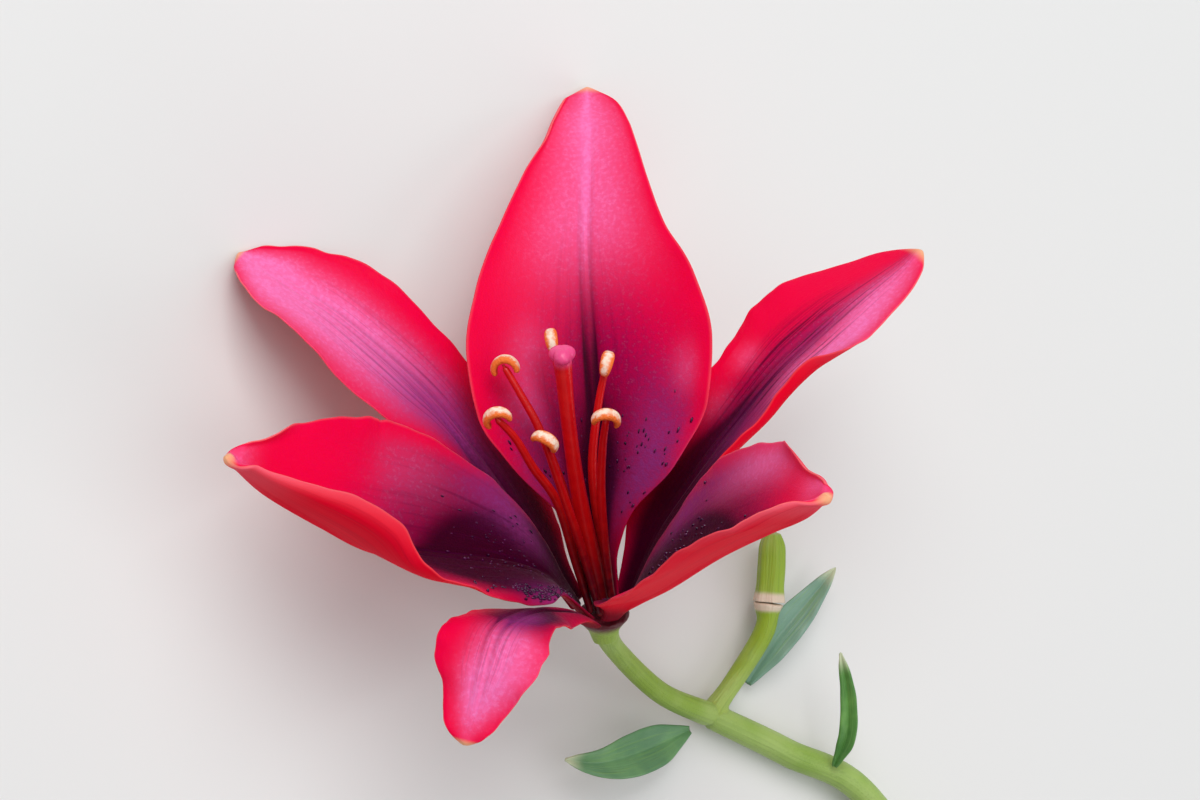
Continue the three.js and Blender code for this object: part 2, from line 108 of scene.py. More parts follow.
def tableAt(rows, place, column):
    rows = np.asarray(rows, float)
    x, y = rows[:, 0], rows[:, column]
    rise = np.diff(y) / np.diff(x)
    product = rise[:-1] * rise[1:]
    total = np.where(product > 0, rise[:-1] + rise[1:], 1)
    slope = np.concatenate([[rise[0]], np.where(product > 0, 2 * product / total, 0), [rise[-1]]])
    at = np.clip(place, x[0], x[-1])
    i = np.clip(np.searchsorted(x, at, side="right") - 1, 0, len(x) - 2)
    h = x[i + 1] - x[i]
    t = (at - x[i]) / h
    return (
        (2 * t ** 3 - 3 * t ** 2 + 1) * y[i] + (t ** 3 - 2 * t ** 2 + t) * slope[i] * h
        + (3 * t ** 2 - 2 * t ** 3) * y[i + 1] + (t ** 3 - t ** 2) * slope[i + 1] * h
    )


def smoothStep(value, low, high):
    t = np.clip((value - low) / (high - low), 0, 1)
    return t * t * (3 - 2 * t)


def bell(distance, reach):
    return np.exp(-(distance / reach) ** 2)


def patches(rows, u, v):
    # Soft spots on a tepal: [along, across, reach along, reach across, strength].
    total = np.zeros_like(u)
    for alongAt, acrossAt, alongReach, acrossReach, strength in rows:
        away = ((u - alongAt) / alongReach) ** 2 + ((v - acrossAt) / acrossReach) ** 2
        total += strength * np.exp(-away)
    return np.clip(total, 0, 1)


# Meshes and objects

def meshOf(shape, name):
    mesh = bpy.data.meshes.new(name)
    shape.to_mesh(mesh)
    shape.free()
    return mesh


def linked(name, data):
    item = bpy.data.objects.new(name, data)
    bpy.context.scene.collection.objects.link(item)
    return item


def wrappedMesh(name, around, rows, place):
    # A grid whose two long edges meet: place gives points and named values for each corner's s and r.
    shape = bmesh.new()
    shape.loops.layers.uv.new("surface")
    bmesh.ops.create_grid(shape, x_segments=around, y_segments=rows, size=0.5, calc_uvs=True)
    corner = np.array([vert.co[:2] for vert in shape.verts]) + 0.5
    points, values = place(corner[:, 0], corner[:, 1])
    layers = [(shape.verts.layers.float.new(key), value) for key, value in values.items()]
    for k, vert in enumerate(shape.verts):
        vert.co = points[k]
        for layer, value in layers:
            vert[layer] = value[k]
    for face in shape.faces:
        face.smooth = True
    bmesh.ops.remove_doubles(shape, verts=shape.verts, dist=1e-7)
    bmesh.ops.recalc_face_normals(shape, faces=shape.faces)
    return meshOf(shape, name)


def cornerUvs(mesh):
    uv = np.empty(len(mesh.loops) * 2)
    mesh.uv_layers["surface"].data.foreach_get("uv", uv)
    return uv.reshape(-1, 2)


def laySurface(mesh, across, along):
    # The same map on both faces of a blade: x from margin to margin, y from base to tip.
    uv = np.stack([across * 0.5 + 0.5, along], axis=1)
    mesh.uv_layers["surface"].data.foreach_set("uv", uv.astype(np.float32).ravel())


def faceUvs(mesh):
    uv = cornerUvs(mesh)
    starts = np.empty(len(mesh.polygons), int)
    totals = np.empty(len(mesh.polygons), int)
    mesh.polygons.foreach_get("loop_start", starts)
    mesh.polygons.foreach_get("loop_total", totals)
    return np.add.reduceat(uv, starts, axis=0) / totals[:, None]


def shown(mesh, node, materials):
    piece = linked(node + "_skin", mesh)
    for material in materials:
        mesh.materials.append(material)
    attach(piece, "root")
    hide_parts(node)


def capped(r, share, startCap, endCap):
    # Place along a limb and share of its radius: round ends with a cap's length, flat ones with none.
    low = np.clip(r / share, 0, 1)
    high = np.clip((1 - r) / share, 0, 1)
    middle = np.clip((r - share) / (1 - 2 * share), 0, 1)
    u = startCap * (1 - np.cos(low * math.pi / 2)) + (1 - startCap - endCap) * middle
    u = u + endCap * (1 - np.sin(high * math.pi / 2))
    startShare = np.sin(low * math.pi / 2) if startCap else low
    endShare = np.sin(high * math.pi / 2) if endCap else high
    return np.clip(u, 0, 1), startShare * endShare


def limbPlaces(points, halfWidth, halfDepth, rows, direction, caps, section=None):
    share = 0.06
    stations = np.arange(rows + 1) / rows
    u, factor = capped(stations, share, *caps)
    centre = curveAt(points, u)
    tangent = tangentOf(lambda w: curveAt(points, w), u)
    across = np.empty_like(centre)
    held = np.asarray(direction, float)
    for k in range(rows + 1):
        held = held - tangent[k] * (held @ tangent[k])
        held = held / np.linalg.norm(held)
        across[k] = held
    deep = np.cross(tangent, across)

    def place(s, r):
        k = np.rint(r * rows).astype(int)
        turn = 2 * math.pi * s
        wide = (halfWidth(u)[k] * factor[k])[:, None]
        thick = (halfDepth(u)[k] * factor[k])[:, None]
        swell = section(turn, u[k])[:, None] if section else 1.0
        side = across[k] * np.cos(turn)[:, None] * wide + deep[k] * np.sin(turn)[:, None] * thick
        return centre[k] + side * swell, u[k], turn, side

    return place


# Materials

def nodeIn(tree, kind, links=None, **settings):
    made = tree.nodes.new(kind)
    for key, value in settings.items():
        setattr(made, key, value)
    for key, value in (links or {}).items():
        if isinstance(value, bpy.types.NodeSocket):
            tree.links.new(value, made.inputs[key])
        else:
            made.inputs[key].default_value = value
    return made


def mathNode(tree, operation, a, b, clamp=False):
    return nodeIn(tree, "ShaderNodeMath", {0: a, 1: b}, operation=operation, use_clamp=clamp).outputs[0]


def times(tree, a, b, clamp=False):
    return mathNode(tree, "MULTIPLY", a, b, clamp)


def plus(tree, a, b, clamp=False):
    return mathNode(tree, "ADD", a, b, clamp)


def mixed(tree, factor, a, b):
    made = nodeIn(tree, "ShaderNodeMix", {0: factor, 6: a, 7: b}, data_type="RGBA")
    return made.outputs[2]


def rgb(red, green, blue):
    return (red, green, blue, 1.0)


def attributeOf(tree, name):
    return nodeIn(tree, "ShaderNodeAttribute", attribute_name=name).outputs["Fac"]


def spread(tree, value, low, high):
    return nodeIn(
        tree, "ShaderNodeMapRange", {"Value": value, "From Min": low, "From Max": high},
        interpolation_type="SMOOTHSTEP").outputs["Result"]


def newGroup(name, inputs, outputs):
    group = bpy.data.node_groups.new(name, "ShaderNodeTree")
    for key, kind in inputs:
        group.interface.new_socket(key, in_out="INPUT", socket_type=kind)
    for key in outputs:
        group.interface.new_socket(key, in_out="OUTPUT", socket_type="NodeSocketFloat")
    return group, group.nodes.new("NodeGroupInput"), group.nodes.new("NodeGroupOutput")


def makeGrain():
    # Round velvet cells, as on the skin of a petal: a height and a mottled tone.
    group, given, result = newGroup(
        "velvetGrain", [("Vector", "NodeSocketVector"), ("Scale", "NodeSocketFloat")], ["Height", "Tone"])
    cells = nodeIn(group, "ShaderNodeTexVoronoi", {"Vector": given.outputs[0], "Scale": given.outputs[1]})
    half = times(group, given.outputs[1], 0.42)
    cloud = nodeIn(group, "ShaderNodeTexNoise", {"Vector": given.outputs[0], "Scale": half, "Detail": 4.0})
    rounded = mathNode(group, "SUBTRACT", 1.0, cells.outputs["Distance"])
    group.links.new(rounded, result.inputs[0])
    speckle = spread(group, cloud.outputs["Fac"], 0.38, 0.66)
    tone = times(group, plus(group, times(group, rounded, 0.5), 0.5), speckle)
    group.links.new(tone, result.inputs[1])
    return group


def makeVeins():
    # Fine lines along a blade: x across the blade and y along it.
    group, given, result = newGroup(
        "longVeins", [("Vector", "NodeSocketVector"), ("Count", "NodeSocketFloat")], ["Lines", "Height"])
    split = nodeIn(group, "ShaderNodeSeparateXYZ", {0: given.outputs[0]})
    across = times(group, split.outputs["X"], given.outputs[1])
    along = times(group, split.outputs["Y"], 2.2)
    place = nodeIn(group, "ShaderNodeCombineXYZ", {0: across, 1: along}).outputs[0]
    noise = nodeIn(
        group, "ShaderNodeTexNoise", {"Vector": place, "Scale": 1.0, "Detail": 3.0, "Roughness": 0.6})
    lines = spread(group, noise.outputs["Fac"], 0.50, 0.68)
    group.links.new(lines, result.inputs[0])
    group.links.new(noise.outputs["Fac"], result.inputs[1])
    return group


grainGroup = makeGrain()
veinGroup = makeVeins()


def startMaterial(name, roughness, specular=0.35, glow=0.0):
    material = bpy.data.materials.new(name)
    material.use_nodes = True
    tree = material.node_tree
    shader = tree.nodes["Principled BSDF"]
    shader.inputs["Roughness"].default_value = roughness
    shader.inputs["Specular IOR Level"].default_value = specular
    shader.inputs["Subsurface Weight"].default_value = glow
    shader.inputs["Subsurface Radius"].default_value = (0.0016, 0.0004, 0.0004)
    shader.inputs["Subsurface Scale"].default_value = 1.0
    return material, tree, shader


def coordinates(tree, kind):
    return nodeIn(tree, "ShaderNodeTexCoord").outputs[kind]


def grainOf(tree, scale):
    given = {"Vector": coordinates(tree, "Object"), "Scale": scale}
    return nodeIn(tree, "ShaderNodeGroup", given, node_tree=grainGroup)


def veinsOf(tree, count):
    given = {"Vector": coordinates(tree, "UV"), "Count": count}
    return nodeIn(tree, "ShaderNodeGroup", given, node_tree=veinGroup)


def blotchesOf(tree, scale, detail):
    given = {"Vector": coordinates(tree, "Object"), "Scale": scale, "Detail": detail}
    return nodeIn(tree, "ShaderNodeTexNoise", given).outputs["Fac"]


def finishSkin(tree, shader, colour, parts):
    # parts: [height socket, strength, depth in metres]
    tree.links.new(colour, shader.inputs["Base Color"])
    normal = None
    for height, strength, depth in parts:
        bump = nodeIn(tree, "ShaderNodeBump", {"Height": height, "Strength": strength, "Distance": depth})
        if normal:
            tree.links.new(normal, bump.inputs["Normal"])
        normal = bump.outputs["Normal"]
    tree.links.new(normal, shader.inputs["Normal"])


petalLook = {
    "red": rgb(0.90, 0.0, 0.055), "crimson": rgb(0.40, 0.0, 0.075), "pink": rgb(0.98, 0.19, 0.50),
    "lilac": rgb(0.33, 0.035, 0.23), "maroon": rgb(0.12, 0.0, 0.024), "deep": rgb(0.03, 0.0, 0.010),
    "rim": rgb(1.0, 0.15, 0.17), "knob": rgb(0.95, 0.44, 0.24), "ink": rgb(0.06, 0.0, 0.028),
    "speck": rgb(1.0, 0.28, 0.52), "sheen": rgb(1.0, 0.4, 0.7), "grainScale": 3000.0, "veinCount": 34.0,
    "back": rgb(0.82, 0.0, 0.022), "backPale": rgb(0.95, 0.14, 0.20), "backMaroon": rgb(0.20, 0.003, 0.015),
    "backVein": rgb(0.45, 0.0, 0.02),
}


def petalInner():
    look = petalLook
    material, tree, shader = startMaterial("petalInner", 0.5, 0.12, 0.25)
    shader.inputs["IOR"].default_value = 1.25
    grain = grainOf(tree, look["grainScale"])
    veins = veinsOf(tree, look["veinCount"])
    tone = grain.outputs["Tone"]
    mottle = plus(tree, times(tree, tone, 0.35), 0.8)

    def mottled(name, strength=1.0):
        return times(tree, times(tree, attributeOf(tree, name), mottle), strength, True)

    colour = mixed(tree, mottled("magenta"), look["red"], look["crimson"])
    # Pink tone with a painted sheen: the pink patches also paint the velvet's sheen where it catches the
    # light.
    colour = mixed(tree, mottled("pink"), colour, look["pink"])
    velvet = times(tree, attributeOf(tree, "magenta"), 0.4)
    velvet = plus(tree, attributeOf(tree, "pink"), velvet, True)
    velvet = times(tree, velvet, spread(tree, tone, 0.55, 0.95))
    colour = mixed(tree, times(tree, velvet, 0.24), colour, look["speck"])
    dark = attributeOf(tree, "dark")
    colour = mixed(tree, dark, colour, look["maroon"])
    colour = mixed(tree, times(tree, spread(tree, dark, 0.65, 1.05), 0.9), colour, look["deep"])
    # Painted reflection: the lilac patches paint the sky's reflection on the velvet of the lower lobes.
    colour = mixed(tree, mottled("lilac", 0.95), colour, look["lilac"])
    inked = times(tree, veins.outputs["Lines"], attributeOf(tree, "veined"), True)
    colour = mixed(tree, inked, colour, look["ink"])
    colour = mixed(tree, attributeOf(tree, "redEdge"), colour, look["red"])
    # Painted highlight along the margin.
    colour = mixed(tree, attributeOf(tree, "rim"), colour, look["rim"])
    colour = mixed(tree, attributeOf(tree, "knob"), colour, look["knob"])
    shader.inputs["Sheen Weight"].default_value = 0.1
    shader.inputs["Sheen Roughness"].default_value = 0.35
    shader.inputs["Sheen Tint"].default_value = look["sheen"]
    rough = plus(tree, times(tree, tone, 0.25), 0.38)
    tree.links.new(rough, shader.inputs["Roughness"])
    veinHeight = plus(tree, times(tree, attributeOf(tree, "veined"), 0.8), 0.15)
    veinHeight = times(tree, veins.outputs["Height"], veinHeight)
    finishSkin(tree, shader, colour, [(grain.outputs["Height"], 0.35, 0.0001), (veinHeight, 0.5, 0.0005)])
    return material


def petalOuter():
    look = petalLook
    material, tree, shader = startMaterial("petalOuter", 0.6, 0.15, 0.25)
    shader.inputs["IOR"].default_value = 1.2
    veins = veinsOf(tree, look["veinCount"])
    # Paler outer skin toward the tip and margins, partly a painted highlight.
    colour = mixed(tree, attributeOf(tree, "backPale"), look["back"], look["backPale"])
    colour = mixed(tree, attributeOf(tree, "backDark"), colour, look["backMaroon"])
    lines = times(tree, veins.outputs["Lines"], 0.25)
    colour = mixed(tree, lines, colour, look["backVein"])
    # Painted highlight along the margin.
    colour = mixed(tree, attributeOf(tree, "rim"), colour, look["rim"])
    colour = mixed(tree, attributeOf(tree, "knob"), colour, look["knob"])
    finishSkin(tree, shader, colour, [(veins.outputs["Height"], 0.35, 0.0004)])
    return material


papillaLook = {"dark": rgb(0.03, 0.0, 0.03), "purple": rgb(0.14, 0.01, 0.09), "grainScale": 900.0}


def papillaSkin():
    look = papillaLook
    material, tree, shader = startMaterial("papillaSkin", 0.22, 0.6)
    grain = grainOf(tree, look["grainScale"])
    colour = mixed(tree, grain.outputs["Tone"], look["dark"], look["purple"])
    finishSkin(tree, shader, colour, [(grain.outputs["Height"], 0.3, 0.0002)])
    return material


filamentLook = {
    "base": rgb(0.10, 0.0, 0.01), "red": rgb(0.66, 0.002, 0.004), "bright": rgb(0.85, 0.02, 0.01),
    "tip": rgb(0.95, 0.22, 0.06), "redFrom": 0.42, "mottle": 0.3, "grainScale": 1400.0,
}
pistilLook = {
    "base": rgb(0.12, 0.0, 0.008), "red": rgb(0.64, 0.001, 0.004), "bright": rgb(0.85, 0.02, 0.01),
    "stigma": rgb(0.88, 0.07, 0.26), "redFrom": 0.4, "mottle": 0.25, "grainScale": 1200.0,
}


def stalkColour(tree, look, tone):
    # Dark at the foot, then red with brighter flecks.
    reddened = spread(tree, attributeOf(tree, "along"), 0.02, look["redFrom"])
    colour = mixed(tree, reddened, look["base"], look["red"])
    return mixed(tree, times(tree, tone, look["mottle"]), colour, look["bright"])


def filamentSkin():
    look = filamentLook
    material, tree, shader = startMaterial("filamentSkin", 0.34, 0.5)
    grain = grainOf(tree, look["grainScale"])
    colour = stalkColour(tree, look, grain.outputs["Tone"])
    colour = mixed(tree, spread(tree, attributeOf(tree, "along"), 0.955, 1.0), colour, look["tip"])
    finishSkin(tree, shader, colour, [(grain.outputs["Height"], 0.25, 0.0001)])
    return material


antherLook = {
    "rust": rgb(0.60, 0.03, 0.006), "orange": rgb(0.95, 0.20, 0.03), "pollen": rgb(0.98, 0.80, 0.64),
    "grainScale": 3200.0,
}


def antherSkin():
    look = antherLook
    material, tree, shader = startMaterial("antherSkin", 0.55, 0.3)
    outside = attributeOf(tree, "outside")
    grain = grainOf(tree, look["grainScale"])
    wobble = plus(tree, outside, times(tree, grain.outputs["Tone"], 0.22))
    # The pale band on the convex face is cream anther colour with a painted highlight along it.
    pale = times(tree, spread(tree, wobble, 0.8, 1.12), attributeOf(tree, "middle"))
    deep = spread(tree, wobble, -0.5, 0.5)
    colour = mixed(tree, deep, look["rust"], look["orange"])
    colour = mixed(tree, pale, colour, look["pollen"])
    strength = mathNode(tree, "SUBTRACT", 1.0, times(tree, pale, 0.6))
    height = times(tree, grain.outputs["Height"], strength)
    finishSkin(tree, shader, colour, [(height, 0.7, 0.00015)])
    return material


def pistilSkin():
    look = pistilLook
    material, tree, shader = startMaterial("pistilSkin", 0.34, 0.5)
    grain = grainOf(tree, look["grainScale"])
    colour = stalkColour(tree, look, grain.outputs["Tone"])
    colour = mixed(tree, attributeOf(tree, "stigma"), colour, look["stigma"])
    finishSkin(tree, shader, colour, [(grain.outputs["Height"], 0.3, 0.00012)])
    return material


stemLook = {
    "green": rgb(0.26, 0.42, 0.075), "yellow": rgb(0.28, 0.42, 0.008), "pale": rgb(0.46, 0.60, 0.20),
    "maroon": rgb(0.10, 0.004, 0.012), "scar": rgb(0.72, 0.60, 0.46), "pith": rgb(0.62, 0.66, 0.38),
    "fibre": rgb(0.16, 0.28, 0.04),
}


def stemSkin():
    look = stemLook
    material, tree, shader = startMaterial("stemSkin", 0.42, 0.45)
    ring = nodeIn(tree, "ShaderNodeCombineXYZ", {
        0: attributeOf(tree, "ringX"), 1: attributeOf(tree, "ringY"), 2: attributeOf(tree, "lengthwise")})
    fibres = nodeIn(tree, "ShaderNodeTexNoise", {"Vector": ring.outputs[0], "Scale": 6.0, "Detail": 4.0})
    blotch = blotchesOf(tree, 90.0, 5.0)
    tone = spread(tree, blotch, 0.35, 0.68)
    colour = mixed(tree, attributeOf(tree, "yellowed"), look["green"], look["yellow"])
    colour = mixed(tree, times(tree, tone, 0.45), colour, look["pale"])
    lines = spread(tree, fibres.outputs["Fac"], 0.45, 0.7)
    colour = mixed(tree, times(tree, lines, 0.35), colour, look["fibre"])
    colour = mixed(tree, attributeOf(tree, "scar"), colour, look["scar"])
    colour = mixed(tree, attributeOf(tree, "cut"), colour, look["pith"])
    colour = mixed(tree, attributeOf(tree, "maroon"), colour, look["maroon"])
    finishSkin(tree, shader, colour, [(fibres.outputs["Fac"], 0.5, 0.0006), (blotch, 0.2, 0.0005)])
    return material


leafLook = {
    "dark": rgb(0.055, 0.20, 0.03), "green": rgb(0.13, 0.33, 0.06), "bluish": rgb(0.20, 0.36, 0.28),
    "vein": rgb(0.22, 0.42, 0.10), "tip": rgb(0.55, 0.62, 0.40), "veinCount": 16.0,
}


def leafSkin():
    look = leafLook
    material, tree, shader = startMaterial("leafSkin", 0.38, 0.5)
    veins = veinsOf(tree, look["veinCount"])
    tone = spread(tree, blotchesOf(tree, 160.0, 4.0), 0.35, 0.7)
    colour = mixed(tree, tone, look["dark"], look["green"])
    colour = mixed(tree, attributeOf(tree, "bluish"), colour, look["bluish"])
    colour = mixed(tree, times(tree, veins.outputs["Lines"], 0.4), colour, look["vein"])
    colour = mixed(tree, attributeOf(tree, "paleTip"), colour, look["tip"])
    finishSkin(tree, shader, colour, [(veins.outputs["Height"], 0.4, 0.0004)])
    return material


skins = {
    "inner": petalInner(), "outer": petalOuter(), "papilla": papillaSkin(), "filament": filamentSkin(),
    "anther": antherSkin(), "pistil": pistilSkin(), "stem": stemSkin(), "leaf": leafSkin(),
}
print("materials made")


